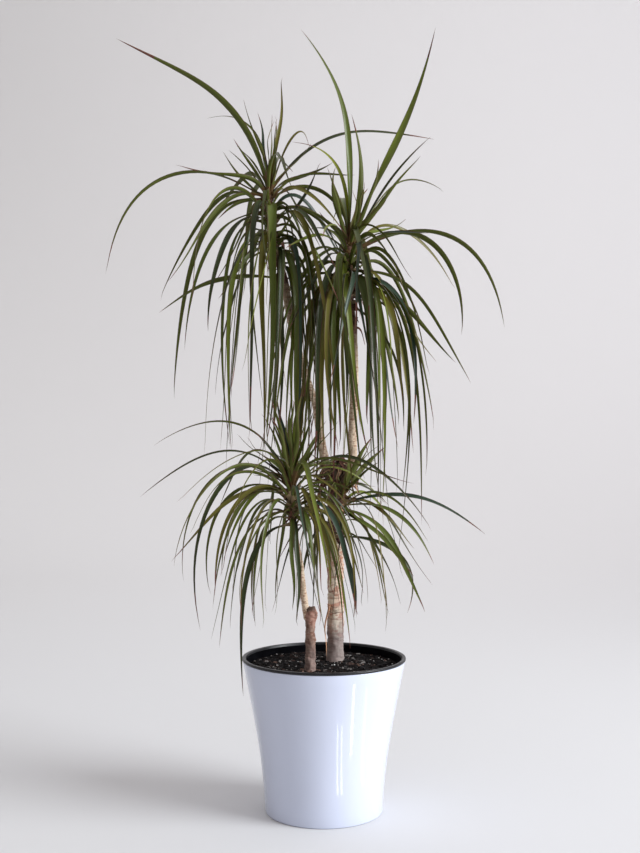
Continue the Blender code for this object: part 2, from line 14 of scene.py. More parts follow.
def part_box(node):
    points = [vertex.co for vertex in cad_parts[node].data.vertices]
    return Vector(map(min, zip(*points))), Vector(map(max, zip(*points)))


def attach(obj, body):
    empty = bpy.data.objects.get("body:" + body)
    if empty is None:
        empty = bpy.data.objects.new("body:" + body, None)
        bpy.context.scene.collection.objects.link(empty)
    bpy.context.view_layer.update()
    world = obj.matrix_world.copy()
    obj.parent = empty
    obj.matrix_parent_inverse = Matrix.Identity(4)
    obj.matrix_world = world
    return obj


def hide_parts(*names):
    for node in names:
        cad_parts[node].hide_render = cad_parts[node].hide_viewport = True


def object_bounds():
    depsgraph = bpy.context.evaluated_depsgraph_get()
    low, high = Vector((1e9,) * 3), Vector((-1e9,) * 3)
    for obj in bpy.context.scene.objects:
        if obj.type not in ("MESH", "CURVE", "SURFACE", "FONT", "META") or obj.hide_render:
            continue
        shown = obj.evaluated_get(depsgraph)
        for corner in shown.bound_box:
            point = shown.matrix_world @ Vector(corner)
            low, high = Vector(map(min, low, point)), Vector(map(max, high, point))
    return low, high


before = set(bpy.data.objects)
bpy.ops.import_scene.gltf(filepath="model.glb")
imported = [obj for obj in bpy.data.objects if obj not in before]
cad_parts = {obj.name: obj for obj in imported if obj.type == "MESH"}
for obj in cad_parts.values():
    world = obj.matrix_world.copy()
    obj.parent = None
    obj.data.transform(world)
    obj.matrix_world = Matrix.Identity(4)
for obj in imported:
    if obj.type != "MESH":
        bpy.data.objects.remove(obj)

bl_info = {
    "name": "Potted Dragon Tree",
    "version": (1, 0, 0),
    "blender": (4, 5, 0),
    "location": "3D View > Sidebar > Dragon Tree",
    "description": "Builds a potted dragon tree, piece by piece, round its solid frame",
    "category": "Add Mesh",
}

CAD_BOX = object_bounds()
MM = 0.001
BODY = "root"

# Places of the pot's parts, as in the solids.
POT_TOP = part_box("inner_pot")[1].z
POT_RIM_RADIUS = 0.140
POT_FOOT_RADIUS = 0.101
POT_RIM_SLOPE = 0.050
POT_FOOT_SLOPE = 0.005
POT_WALL = 0.004
POT_FLOOR = 0.005
SHELL_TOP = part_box("pot_shell")[1].z
SOIL_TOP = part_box("soil")[1].z
SEAM = 0.0003
LINER_WALL = 0.0025
LINER_INSIDE = POT_WALL + SEAM + LINER_WALL

# The growing pot's lip: how far its face lies inside the rim and how far it rolls
# out, the steps down its inside, each as (in from the rim, down from the top), and
# how deep its glossier plastic goes. Then the lug's size and place on the lip.
LIP_SET_IN = 0.0012
LIP_ROLL = 0.0014
LIP_STEPS = ((0.0045, 0.0), (0.0062, 0.0007), (0.0074, 0.0040), (0.0079, 0.0090))
LIP_DEPTH = 0.0050
LUG_REACH, LUG_OUT, LUG_ROUNDING = 0.0044, 0.0002, 0.0007
LUG_ABOVE_SHELL, LUG_BELOW_RIM = 0.0006, 0.0010

# Colours of the bits on the soil, their least size and what chance adds to it, and
# the rings that the soil's top is cut into.
CHIP_COLOURS = {
    "chip_black": (0.0040, 0.0028, 0.0030), "chip_brown": (0.030, 0.016, 0.013),
    "chip_tan": (0.150, 0.090, 0.070), "chip_grey": (0.170, 0.158, 0.150),
}
GRANULE_COLOURS = {
    "granule_white": (0.50, 0.49, 0.48), "granule_stained": (0.20, 0.18, 0.165),
}
CHIP_LEAST, CHIP_MORE = 0.0010, 0.0038
GRANULE_LEAST, GRANULE_MORE = 0.0005, 0.0013
SOIL_RINGS = 30
BOX_CORNERS = [(x, y, z) for z in (-1, 1) for y in (-1, 1) for x in (-1, 1)]
BOX_FACES = [(0, 2, 3, 1), (4, 5, 7, 6), (0, 1, 5, 4), (2, 6, 7, 3), (0, 4, 6, 2), (1, 3, 7, 5)]

# Centre lines of canes and stems, each place as (x, y, z) in millimetres.
TALL_CANE = ((20, 50, 246), (21, 50, 360), (20, 51, 480), (21, 50, 592))
SHORT_CANE = ((-23, -36, 246), (-23, -36, 300), (-22, -36, 351))
LEFT_STEM = (
    (12, 50, 560), (3, 49, 592), (-5, 48, 631), (-14, 46, 693), (-32, 44, 742),
    (-46, 43, 790), (-58, 42, 843), (-70, 41, 912), (-86, 40, 968),
    (-96, 40, 1020), (-96, 40, 1080),
)
RIGHT_STEM = (
    (28, 46, 545), (42, 40, 572), (50, 35, 600), (50, 31, 640), (52, 27, 700),
    (53, 24, 755), (50, 22, 826), (45, 20, 879), (44, 20, 950), (46, 20, 990),
)
SHORT_CANE_SHOOT = (
    (-24, -36, 322), (-30, -36, 344), (-35, -36, 378), (-40, -35, 420),
    (-46, -34, 453), (-51, -34, 480), (-54, -34, 505), (-54, -34, 570),
)
SIDE_SHOOT = (
    (16, 44, 418), (14, 34, 434), (14, 27, 456), (18, 24, 486), (25, 21, 511),
    (35, 18, 540), (38, 17, 552),
)

# Radii of the canes. A foot's flare fades upwards over its height. The tall cane's
# taper is the share that it loses over its length, and above its shoulder the cut
# top is rounded. The short cane has a collar, and steps in to a dead stub over it.
FLARE_HEIGHT = 0.012
TALL_RADIUS, TALL_FLARE, TALL_TAPER, TALL_LENGTH = 0.0143, 0.0014, 0.05, 0.35
TALL_SHOULDER, TALL_ROUNDING, TALL_TOP_CUT = 0.574, 0.018, 0.0035
SHORT_RADIUS, SHORT_FLARE = 0.0084, 0.0012
COLLAR_HEIGHT, COLLAR_REACH, COLLAR_SWELL = 0.337, 0.010, 0.0024
STUB_HEIGHT, STUB_STEP, STUB_CUT = 0.346, 0.0012, 0.0016

# Rings pressed into a cane's cut top, each as (inwards, down).
CUT_STEPS = ((0.0016, 0.0010), (0.0030, 0.0), (0.0025, 0.0008))

# Dark stretches of the stems near the cane tops and where they run into the crowns, partly their own
# darker bark and partly painted shade from the crowns: amount, height of none and height of full.
DARK_AND_SHADED_STRETCHES = {
    "left_stem": ((0.9, 0.610, 0.575), (0.5, 0.80, 0.88)),
    "right_stem": ((0.9, 0.585, 0.560), (0.8, 0.755, 0.800)),
    "short_cane_shoot": ((0.5, 0.40, 0.47),),
    "side_shoot": ((0.7, 0.42, 0.45),),
}
# These and the canes' own end unevenly: a pattern adds up to this much to the height.
ZONE_UNEVENNESS = 0.05

# Age of a leaf in its crown: youngest and upright at 0, oldest and hanging at 1.
# Reach and rise in millimetres, lift and fall in degrees above the level.
AGES = (0.0, 0.10, 0.24, 0.42, 0.65, 1.0)
AGE_REACH = (22, 80, 150, 140, 100, 70)
AGE_RISE = (125, 120, 5, -170, -320, -345)
AGE_LIFT = (86, 72, 62, 54, 46, 36)
AGE_FALL = (84, 45, -42, -76, -88, -92)
AGE_WIDTH = (8, 10, 11, 11.5, 11, 10)
GOLDEN_ANGLE = 137.5
# Leaves dealt out by the rule reach this share further towards the front and the
# back, so that a crown is about as deep as its outline leaves make it wide.
DEPTH_REACH = 0.55

# Leaves that give a crown its outline: height of the root, heading, reach and
# rise to the tip, lift at the root, fall at the tip, twist, width, and for some
# how far the tip swings aside. A crown's tones name the leaves that are not the
# usual green, by their place in the list. Its fill and young are how many more
# leaves the rule deals out, its wide how far they reach and its fresh how many
# of them are light green. Its slim narrows all its leaves.
LEFT_CROWN = dict(
    name="left_crown", stem=LEFT_STEM, top=1078, floor=905, splits=(1040, 995),
    radius=0.0085, scale=1.0, fill=42, start=40, seed=5, stubs=14, bare=42, wide=0.9,
    young=6, fresh=0.5, slim=1.0,
    tones=dict(
        olive=(0, 30, 34), deep_green=(1, 15, 19, 36, 37), mid_green=(7, 14, 16, 27, 33),
        pale_green=(13,), blue_green=(23,), leaf_green=(26, 29, 35)),
    leaves=(
        (1060, 190, 264, 263, 80, 23, 50, 15), (1052, 176, 290, -128, 37, -82, 25, 8),
        (1064, 160, 120, 146, 88, -6, 0, 5), (1064, 40, 27, 214, 84, 90, 0, 9),
        (1062, 130, 32, 155, 84, 72, 20, 8), (1058, 165, 74, 90, 56, 40, 0, 5),
        (1048, 190, 80, 88, 42, 56, 0, 6), (1056, 205, 184, -160, 14, -50, 35, 12),
        (1049, 170, 170, -345, 18, -88, 15, 12), (1030, 195, 146, -246, 0, -86, 0, 9),
        (1026, 212, 116, -212, 0, -88, 30, 12), (1012, 200, 68, -400, 20, -98, 0, 8),
        (914, 185, 216, -62, 6, -38, 15, 11), (970, 215, 112, -100, -2, -48, 0, 9),
        (1030, 280, 80, -412, 34, -92, 28, 19, -12), (1034, 253, 78, -395, 36, -95, 10, 15),
        (1031, 320, 112, -320, 20, -80, 25, 15), (1066, 12, 304, 112, 57, -8, 20, 11),
        (1052, 10, 152, -72, 40, -74, 10, 10), (974, 335, 89, 137, 56, 62, 20, 12),
        (1066, 20, 74, 86, 74, -75, 0, 6), (1030, 358, 115, -45, 26, -50, 15, 9),
        (1028, 325, 140, -110, 20, -60, 25, 11), (1018, 318, 95, -388, 12, -96, 20, 16),
        (986, 333, 95, -380, 15, -86, -20, 13), (960, 320, 80, -360, 10, -85, 10, 12),
        (935, 308, 60, -330, 25, -93, 0, 15, -14), (925, 262, 56, -310, 5, -90, 0, 12),
        (960, 286, 62, -340, 30, -92, 10, 13, -34), (990, 224, 88, -380, 12, -97, 20, 11),
        (985, 258, 72, -385, 28, -95, 0, 14, 8), (1058, 82, 255, 70, 66, -22, 0, 11),
        (1046, 104, 262, -130, 46, -78, 0, 11), (950, 300, 66, -318, 30, -92, 15, 14),
        (972, 312, 78, -330, 34, -90, -20, 13), (930, 292, 52, -290, 20, -92, 5, 13),
        (945, 276, 60, -320, 25, -92, 15, 12), (1000, 326, 92, -330, 26, -92, -15, 13),
    ),
)
RIGHT_CROWN = dict(
    name="right_crown", stem=RIGHT_STEM, top=985, floor=815, splits=(942, 890),
    radius=0.0085, scale=1.0, fill=42, start=10, seed=8, stubs=30, bare=38, wide=0.9,
    young=6, fresh=0.9, slim=1.0,
    tones=dict(
        mid_green=(0, 5, 34, 37), leaf_green=(1, 2, 11, 35, 38, 47), red_brown=(3,),
        lime=(7, 20, 48, 49), olive=(13, 36, 41, 42), blue_green=(15, 40, 44), pale_green=(16,),
        deep_green=(43,)),
    leaves=(
        (970, 175, 84, 382, 90, 51, 35, 14), (962, 355, 148, 386, 71, 78, 55, 17),
        (968, 350, 1, 232, 78, 106, 20, 12), (966, 320, 61, 145, 66, 82, 0, 9),
        (968, 10, 146, 201, 60, 42, 0, 7), (964, 340, 126, 152, 56, 46, 0, 9),
        (964, 25, 190, 116, 60, -30, 0, 6), (968, 315, 142, -74, 62, -52, 0, 9),
        (952, 355, 265, -129, 32, -83, 0, 11), (948, 345, 193, -140, 42, -95, 40, 14),
        (922, 5, 213, -193, 8, -60, 0, 9), (894, 350, 182, -132, 2, -45, 30, 12),
        (900, 15, 160, -132, -2, -48, 20, 8), (895, 335, 137, -326, 18, -93, 20, 11),
        (898, 0, 123, -417, 22, -90, 0, 9), (900, 322, 108, -372, 24, -99, 40, 15),
        (960, 287, 95, -150, 74, -88, 60, 12), (956, 200, 22, 150, 88, 112, 0, 10),
        (948, 212, 125, 5, 55, -32, 0, 12), (932, 185, 95, -50, 28, -50, 10, 9),
        (966, 170, 102, 190, 90, 8, 0, 8), (884, 300, 104, -400, 10, -72, 10, 10),
        (900, 243, 78, -300, 30, -90, 0, 14), (906, 235, 80, -300, 30, -90, 10, 15),
        (888, 320, 74, -260, 12, -90, 20, 12), (928, 232, 95, -350, 25, -88, 10, 13),
        (912, 190, 85, -330, 20, -86, -20, 12), (876, 225, 70, -350, 10, -88, 0, 12),
        (930, 246, 66, -395, 30, -90, 20, 12), (915, 306, 76, -420, 25, -94, -25, 11),
        (940, 296, 96, -430, 35, -90, 30, 10), (925, 240, 74, -410, 28, -84, -30, 9),
        (905, 315, 70, -390, 30, -96, 35, 11), (895, 205, 62, -385, 30, -86, 30, 10),
        (938, 248, 90, -374, 38, -88, 10, 17, 62), (925, 312, 64, -318, 42, -90, 10, 17, 4),
        (915, 330, 62, -335, 35, -92, -15, 10), (905, 302, 54, -250, 34, -95, 0, 18),
        (900, 250, 56, -285, 30, -90, 10, 15), (915, 222, 62, -330, 30, -88, 15, 14),
        (902, 335, 116, -246, 22, -98, 30, 12), (862, 338, 95, -218, -25, -92, 20, 11),
        (895, 325, 105, -200, 15, -88, 25, 15), (918, 262, 52, -240, 34, -92, 0, 16),
        (905, 205, 72, -300, 24, -92, 10, 15), (964, 96, 225, 90, 70, -25, 0, 10),
        (950, 76, 245, -140, 46, -80, 0, 11), (925, 254, 84, -330, 36, -88, -10, 14, 58),
        (966, 300, 48, 96, 74, 66, 10, 11), (962, 330, 70, 84, 66, 52, 0, 10),
    ),
)
FRONT_CROWN = dict(
    name="front_crown", stem=SHORT_CANE_SHOOT, top=566, floor=478, splits=(527,),
    radius=0.0068, scale=0.66, fill=50, start=75, seed=3, stubs=5, bare=10, wide=1.45,
    young=12, fresh=0.5, slim=1.0,
    tones=dict(
        deep_green=(0, 1, 4), mid_green=(2, 11), red_brown=(5,), leaf_green=(20, 24), lime=(22, 28),
        pale_green=(26,), olive=(30,)),
    leaves=(
        (557, 170, 243, 62, 68, -34, 0, 5), (553, 185, 253, -19, 51, -40, 0, 6),
        (546, 175, 182, -157, 46, -97, 0, 6), (540, 195, 201, -109, 16, -47, 25, 9),
        (548, 200, 155, -230, 52, -103, 30, 10), (540, 165, 142, -175, 28, -105, 0, 8),
        (536, 205, 135, -160, 35, -90, 20, 10), (532, 190, 115, -130, 30, -92, 0, 7),
        (508, 190, 120, -224, 8, -84, 10, 8), (512, 215, 95, -165, -2, -97, 10, 10),
        (486, 200, 84, -282, 6, -96, 20, 11), (500, 272, 45, -150, -10, -80, 0, 10),
        (498, 285, 40, -175, -20, -88, 0, 12), (504, 318, 75, -202, -15, -76, 20, 13),
        (558, 150, 55, 140, 78, 62, 0, 8), (560, 100, 40, 155, 84, 75, 0, 7),
        (558, 50, 45, 150, 80, 80, 0, 8), (556, 175, 50, 120, 70, 55, 0, 6),
        (540, 350, 130, -10, 35, -30, 0, 7), (510, 300, 90, -180, 20, -80, 30, 14),
        (560, 60, 28, 178, 86, 80, 20, 11), (562, 200, 34, 140, 82, 74, -20, 10),
        (558, 300, 30, 150, 82, 76, 30, 11), (560, 340, 44, 132, 76, 66, -10, 10),
        (556, 230, 46, 118, 72, 60, 10, 10), (562, 20, 20, 165, 86, 84, 0, 10),
        (560, 270, 14, 140, 86, 82, 15, 11), (558, 130, 40, 150, 80, 70, 0, 10),
        (555, 320, 22, 172, 84, 84, -25, 11), (557, 255, 30, 110, 76, 66, -15, 10),
        (552, 5, 56, 112, 70, 58, 20, 10), (554, 185, 62, 92, 66, 44, 0, 9),
        (550, 283, 258, -139, 46, -60, 20, 11), (505, 304, 120, -119, 34, -78, -15, 14),
        (512, 328, 123, -171, 36, -84, 20, 12),
    ),
)
SIDE_CROWN = dict(
    name="side_crown", stem=SIDE_SHOOT, top=548, floor=454, splits=(502,),
    radius=0.0066, scale=0.55, fill=18, start=20, seed=6, stubs=6, bare=8, wide=1.3,
    young=4, fresh=0.5, slim=1.08,
    tones=dict(
        mid_green=(5,), deep_green=(14,), leaf_green=(16,)),
    leaves=(
        (520, 350, 248, -50, 16, -38, 0, 9), (516, 0, 163, -103, 9, -66, 0, 9),
        (510, 340, 153, -171, -5, -66, 30, 12), (508, 328, 146, -105, -18, -50, 25, 10),
        (524, 20, 173, -153, 10, -48, 0, 5), (518, 320, 128, -161, -30, -68, 20, 11),
        (460, 350, 128, -128, 8, -112, 0, 8), (490, 300, 74, -153, -50, -74, 10, 11),
        (498, 315, 60, -150, -25, -94, 0, 9), (530, 5, 125, -90, 0, -50, 10, 8),
        (535, 345, 62, 58, 50, 30, 20, 9), (540, 20, 30, 60, 65, 60, 0, 8),
        (532, 200, 32, 50, 60, 55, 0, 7), (466, 335, 80, -56, 22, -60, 0, 5),
        (536, 5, 72, 84, 58, 40, 20, 12), (540, 345, 48, 98, 70, 56, -20, 12),
        (538, 30, 64, 60, 56, 28, 10, 11), (542, 300, 26, 80, 78, 66, 15, 11),
    ),
)
CROWNS = (LEFT_CROWN, RIGHT_CROWN, FRONT_CROWN, SIDE_CROWN)

# A withered leaf left on the tall cane, hanging to the soil, as one such row.
DRY_LEAF = (342, 225, 15, -88, -62, -98, 50, 11)
DRY_BASE_COLOURS = {
    "dry_base_brown": (0.110, 0.046, 0.032), "dry_base_tan": (0.300, 0.180, 0.105),
}

# Leaf tones, as plain base colours.
TONES = {
    "lime": (0.224, 0.252, 0.027),
    "leaf_green": (0.124, 0.153, 0.020),
    "mid_green": (0.079, 0.101, 0.017),
    "olive": (0.109, 0.098, 0.015),
    "deep_green": (0.031, 0.041, 0.012),
    "blue_green": (0.028, 0.049, 0.029),
    "pale_green": (0.160, 0.185, 0.085),
    "red_brown": (0.150, 0.046, 0.016),
}
# Tones that a leaf may have by its age, from the youngest leaves' to the oldest's.
USUAL_TONES = ("leaf_green", "mid_green", "olive", "deep_green", "blue_green")
# The other parts of a leaf, as colour and roughness. The margin's colour is a setting.
LEAF_PART_LOOKS = {
    "young_base": ((0.110, 0.062, 0.022), 0.50),
    "old_base": ((0.230, 0.165, 0.090), 0.60),
    "margin": None,
    "tip": ((0.130, 0.050, 0.034), 0.70),
    "under": ((0.075, 0.088, 0.013), 0.55),
}
LEAF_SLOTS = tuple(LEAF_PART_LOOKS) + tuple(TONES)
# Parts of the strips round a leaf, from one edge over its top and back below it.
RING_PARTS = ("margin", "top", "top", "top", "top", "margin",
              "margin", "under", "under", "under", "under", "margin")
# Shares of a leaf's length: where it is widest, and where it stops to clasp the
# stem. Then the reach of its curve's handles against its chord, the greatest
# ripple of its midline in metres and the slope of its cupped halves in degrees.
WIDEST_AT = 0.26
CLASP_END = 0.07
BEND = 0.42
RIPPLE = 0.004
CUP = 21

# The leaves that the rule deals out end above this height, clear of the pot, and
# keep this far from the limbs. The rule tries so many places for each.
LOWEST_TIP = 0.285
LIMB_CLEARANCE = 0.0008
ATTEMPTS = 16
# Leaves start this far from their stem's centre line, and the half width of a
# leaf's base is this share of the stem's radius.
ROOT_OUT = 0.0025
CLASP = 0.80

# Dead leaf ends in the crowns, and round the cut top of the tall cane: their
# number, lowest height and span of heights, greatest length, and distance of their
# roots from the centre line. Heights and lengths are in millimetres.
DRY_BASE_LONGEST = 34
CUT_TOP_STUBS, CUT_TOP_LOW, CUT_TOP_SPAN = 34, 540, 54
CUT_TOP_LONGEST, CUT_TOP_OUT = 78, 0.0065

# Low strip lights that lie on the floor and draw the upright streaks on the
# glaze: heading from the front towards the right, nearest and farthest reach
# from the pot's middle, width and power.
FLOOR_STRIPS = (
    (40.0, 0.29, 0.54, 0.016, 0.15),
    (19.0, 0.20, 0.36, 0.008, 0.030),
    (25.0, 0.20, 0.36, 0.010, 0.030),
    (60.0, 0.22, 0.50, 0.020, 0.06),
)

# The window and the light on the wall: place, aim, size and colour. The window
# shines into this full angle in degrees, which spares the floor and wall beside it.
WINDOW = ((4.4, -1.8, 2.3), (0.0, 0.0, 0.62), (3.0, 3.4), (0.93, 0.97, 1.0))
WINDOW_SPREAD = 70.0
WALL_WASHER = ((0.5, 3.0, 4.2), (0.9, 7.0, 1.4), (4.0, 1.2), (1.0, 0.98, 0.97))
ROOM_COLOUR = (1.0, 0.972, 0.978, 1.0)

# Paint of floor and wall: its plain colour, then from the left side to the right. The change across is
# painted shade and light: darker at the left, away from the window, lighter and cooler at the right,
# towards it.
PAINT = (0.80, 0.79, 0.80)
PAINT_SHADED_LEFT = (0.550, 0.540, 0.530)
PAINT_LIT_RIGHT = (0.880, 0.885, 0.915)

# Camera that took in the plant from the front, at mid height.
CAMERA_PLACE = (-0.0067, -1.893, 0.625)
CAMERA_TILT = 0.0153
CAMERA_FOCUS_PIXELS = 1101.2
PHOTO_HEIGHT_PIXELS = 853
SENSOR = 36.0


class DragonTreePot(bpy.types.PropertyGroup):
    """Pot, growing pot and soil."""
    sides: IntProperty(
        name="Sides", description="Flat strips round the pot's wall", default=128, min=32)
    rim_bevel: FloatProperty(
        name="Rim bevel", description="Rounding of the pot's rim and foot",
        default=0.0016, unit="LENGTH")
    lug_width: FloatProperty(
        name="Lug width", description="Width of the growing pot's lifting lug",
        default=0.008, unit="LENGTH")
    soil_relief: FloatProperty(
        name="Soil relief", description="Height of the soil's bumps", default=0.0022, unit="LENGTH")
    chips: IntProperty(name="Bark chips", description="Bits of bark and peat on the soil", default=2200)
    granules: IntProperty(
        name="White granules", description="Bits of expanded rock in the soil", default=520)
    glaze_colour: FloatVectorProperty(
        name="Glaze", description="Colour of the outer pot", subtype="COLOR",
        default=(0.60, 0.64, 0.775))
    liner_colour: FloatVectorProperty(
        name="Growing pot", description="Colour of the growing pot", subtype="COLOR",
        default=(0.0014, 0.0014, 0.0022))
    soil_colour: FloatVectorProperty(
        name="Soil", description="Colour of the damp soil", subtype="COLOR",
        default=(0.0055, 0.0036, 0.0034))


class DragonTreeLimbs(bpy.types.PropertyGroup):
    """Canes and stems."""
    cane_sides: IntProperty(name="Cane sides", description="Points round a cane", default=40)
    stem_sides: IntProperty(name="Stem sides", description="Points round a stem", default=28)
    cane_scar_pitch: FloatProperty(
        name="Cane scar pitch", description="Usual distance of leaf scars on an old cane",
        default=0.0075, unit="LENGTH")
    stem_scar_pitch: FloatProperty(
        name="Stem scar pitch", description="Usual distance of leaf scars on a stem",
        default=0.0058, unit="LENGTH")
    scar_depth: FloatProperty(
        name="Scar depth", description="Depth of the groove of a leaf scar",
        default=0.00030, unit="LENGTH")
    cane_colour: FloatVectorProperty(
        name="Cane bark", description="Colour of the old canes", subtype="COLOR",
        default=(0.93, 0.61, 0.48))
    stem_colour: FloatVectorProperty(
        name="Stem bark", description="Colour of the young stems", subtype="COLOR",
        default=(0.64, 0.51, 0.38))
    scar_colour: FloatVectorProperty(
        name="Scars", description="Colour of the leaf scars", subtype="COLOR",
        default=(0.20, 0.082, 0.048))


class DragonTreeLeaves(bpy.types.PropertyGroup):
    """Leaves of the crowns."""
    fullness: FloatProperty(
        name="Fullness", description="Leaves dealt by the rule, against the solid frame's",
        default=1.0, min=0.2, max=3.0)
    breadth: FloatProperty(
        name="Breadth", description="Width of the leaves, against the rule's", default=0.86)
    rings: IntProperty(name="Rings", description="Steps along a leaf", default=26, min=8)
    margin: FloatProperty(
        name="Red margin", description="Width of the red edge of a leaf", default=0.0004, unit="LENGTH")
    thickness: FloatProperty(
        name="Thickness", description="Thickness of a leaf at its midrib",
        default=0.0008, unit="LENGTH")
    margin_colour: FloatVectorProperty(
        name="Margin", description="Colour of the leaf margins", subtype="COLOR",
        default=(0.090, 0.026, 0.022))


class DragonTreeStage(bpy.types.PropertyGroup):
    """Floor, lights and camera."""
    sweep_radius: FloatProperty(
        name="Sweep radius", description="From the pot's middle to the round back wall",
        default=7.0, unit="LENGTH")
    sweep_height: FloatProperty(
        name="Sweep height", description="Height of the round back wall", default=6.0, unit="LENGTH")
    window_power: FloatProperty(
        name="Window", description="Power of the large soft light at the right",
        default=70.0, unit="POWER")
    wall_power: FloatProperty(
        name="Wall light", description="Power of the light on the back wall",
        default=78.0, unit="POWER")
    room_light: FloatProperty(
        name="Room light", description="Strength of the light from all round", default=0.76)


def hermite(t, low, high, slope_low, slope_high):
    """Smooth blend of two values with their slopes, at a share from 0 to 1."""
    return ((2 * t ** 3 - 3 * t ** 2 + 1) * low + (3 * t ** 2 - 2 * t ** 3) * high
            + (t ** 3 - 2 * t ** 2 + t) * slope_low + (t ** 3 - t ** 2) * slope_high)


def pot_radius(height):
    """Outside radius of the pot's flared side at a height."""
    share = min(max(height / POT_TOP, 0.0), 1.0)
    return hermite(share, POT_FOOT_RADIUS, POT_RIM_RADIUS, POT_FOOT_SLOPE, POT_RIM_SLOPE)


def level(turn):
    """Level unit vector at an angle from +X."""
    return Vector((math.cos(turn), math.sin(turn), 0.0))


def centre_line(places, height):
    """Point of a smooth line through places, at a height in metres."""
    spots = [Vector(place) * MM for place in places]
    last = len(spots) - 2
    index = 0
    while index < last and height > spots[index + 1].z:
        index += 1
    low, high = spots[index], spots[index + 1]
    before, after = spots[max(index - 1, 0)], spots[min(index + 2, last + 1)]
    span = high.z - low.z
    result = Vector((0.0, 0.0, height))
    for axis in (0, 1):
        slope_low = (high[axis] - before[axis]) / (high.z - before.z)
        slope_high = (after[axis] - low[axis]) / (after.z - low.z)
        result[axis] = hermite(
            (height - low.z) / span, low[axis], high[axis], span * slope_low, span * slope_high)
    return result


def tall_cane_radius(height):
    """A slight taper with a flared foot and a rounded top."""
    above = height - SOIL_TOP
    top = max(0.0, (height - TALL_SHOULDER) / TALL_ROUNDING)
    body = TALL_RADIUS * (1.0 - TALL_TAPER * above / TALL_LENGTH)
    return body + TALL_FLARE * math.exp(-above / FLARE_HEIGHT) - TALL_TOP_CUT * top ** 2


def short_cane_radius(height):
    """Even, with a flared foot, a collar and a slimmer dead end over it."""
    flare = math.exp(-(height - SOIL_TOP) / FLARE_HEIGHT)
    collar = math.exp(-((height - COLLAR_HEIGHT) / COLLAR_REACH) ** 2)
    stub = 1.0 / (1.0 + math.exp(-(height - STUB_HEIGHT) / STUB_STEP))
    return SHORT_RADIUS + SHORT_FLARE * flare + COLLAR_SWELL * collar - STUB_CUT * stub


def stem_radius(low, thick, thin, swell):
    """Radius rule of a stem: swollen where it leaves its cane, then slender."""
    return lambda height: thin + (thick - thin) * math.exp(-(height - low) / swell)


def crown_core_radius(crown):
    """Radius rule of the leaf-covered stem inside a crown."""
    floor, top = crown["floor"] * MM, crown["top"] * MM

    def rule(height):
        share = (height - floor) / (top - floor)
        return crown["radius"] * (1.0 - 0.12 * share - 0.45 * max(0.0, share - 0.7) ** 1.2)
    return rule


def crown_stem_radius(crown):
    """Radius rule of that stem's bark, which lies inside and ends in a point."""
    core, top = crown_core_radius(crown), crown["top"] * MM

    def rule(height):
        near_top = max(0.0, 1.0 - (top - height) / 0.020)
        return (core(height) - 0.0012) * (1.0 - 0.75 * near_top)
    return rule


# Limbs by name: centre line, foot, top and radius rule.
LIMBS = {
    "tall_cane": (TALL_CANE, SOIL_TOP, 0.592, tall_cane_radius),
    "short_cane": (SHORT_CANE, SOIL_TOP, 0.351, short_cane_radius),
    "left_stem": (LEFT_STEM, 0.560, 0.905, stem_radius(0.560, 0.0098, 0.0072, 0.030)),
    "right_stem": (RIGHT_STEM, 0.545, 0.815, stem_radius(0.545, 0.0100, 0.0072, 0.030)),
    "short_cane_shoot": (
        SHORT_CANE_SHOOT, 0.329, 0.478, stem_radius(0.329, 0.0078, 0.0054, 0.014)),
    "side_shoot": (SIDE_SHOOT, 0.418, 0.454, stem_radius(0.418, 0.0080, 0.0060, 0.020)),
}


def deselect_all():
    """Leave edit mode, with nothing selected."""
    if bpy.context.object and bpy.context.object.mode != "OBJECT":
        bpy.ops.object.mode_set(mode="OBJECT")
    bpy.ops.object.select_all(action="DESELECT")


def pick(thing):
    """Select one object alone, in object mode."""
    deselect_all()
    thing.select_set(True)
    bpy.context.view_layer.objects.active = thing


def finish_piece(thing, name, materials, replaces):
    """Name a piece, settle its place in its mesh and tie it to the frame."""
    pick(thing)
    bpy.ops.object.transform_apply(location=True, rotation=True, scale=True)
    thing.name = name
    thing.data.name = name
    for material in materials:
        thing.data.materials.append(material)
    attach(thing, BODY)
    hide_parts(*replaces)


def smooth(thing, degrees):
    """Shade smooth, apart from edges sharper than an angle."""
    pick(thing)
    bpy.ops.object.shade_smooth_by_angle(angle=math.radians(degrees))


def apply_all(thing):
    """Apply an object's modifiers."""
    pick(thing)
    for modifier in list(thing.modifiers):
        bpy.ops.object.modifier_apply(modifier=modifier.name)


def add_disc(centre, radius, sides):
    """A filled circle in edit mode, its face selected."""
    deselect_all()
    bpy.ops.mesh.primitive_circle_add(
        vertices=sides, radius=radius, fill_type="NGON", location=centre)
    bpy.ops.object.transform_apply(location=True)
    bpy.ops.object.mode_set(mode="EDIT")
    bpy.ops.mesh.select_mode(type="FACE")
    bpy.ops.mesh.select_all(action="SELECT")
    return bpy.context.object


def extrude_to(rings):
    """Extrude the selected face through (centre, radius) rings."""
    for (start, narrow), (end, wide) in zip(rings, rings[1:]):
        bpy.ops.mesh.extrude_region_move(TRANSFORM_OT_translate={"value": end - start})
        ratio = wide / narrow
        bpy.ops.transform.resize(value=(ratio, ratio, 1.0), center_override=end)


def turn_faces(inside=False):
    """Turn all faces of the shape in edit mode outwards, or inwards."""
    bpy.ops.mesh.select_all(action="SELECT")
    bpy.ops.mesh.normals_make_consistent(inside=inside)


def upright_rings(profile):
    """Rings round the pot's axis, from pairs of radius and height."""
    return [(Vector((0.0, 0.0, height)), radius) for radius, height in profile]


def turned(profile, sides):
    """A closed turned shape: a disc at the profile's first point, extruded through the rest."""
    rings = upright_rings(profile)
    thing = add_disc(*rings[0], sides)
    extrude_to(rings)
    turn_faces()
    return thing


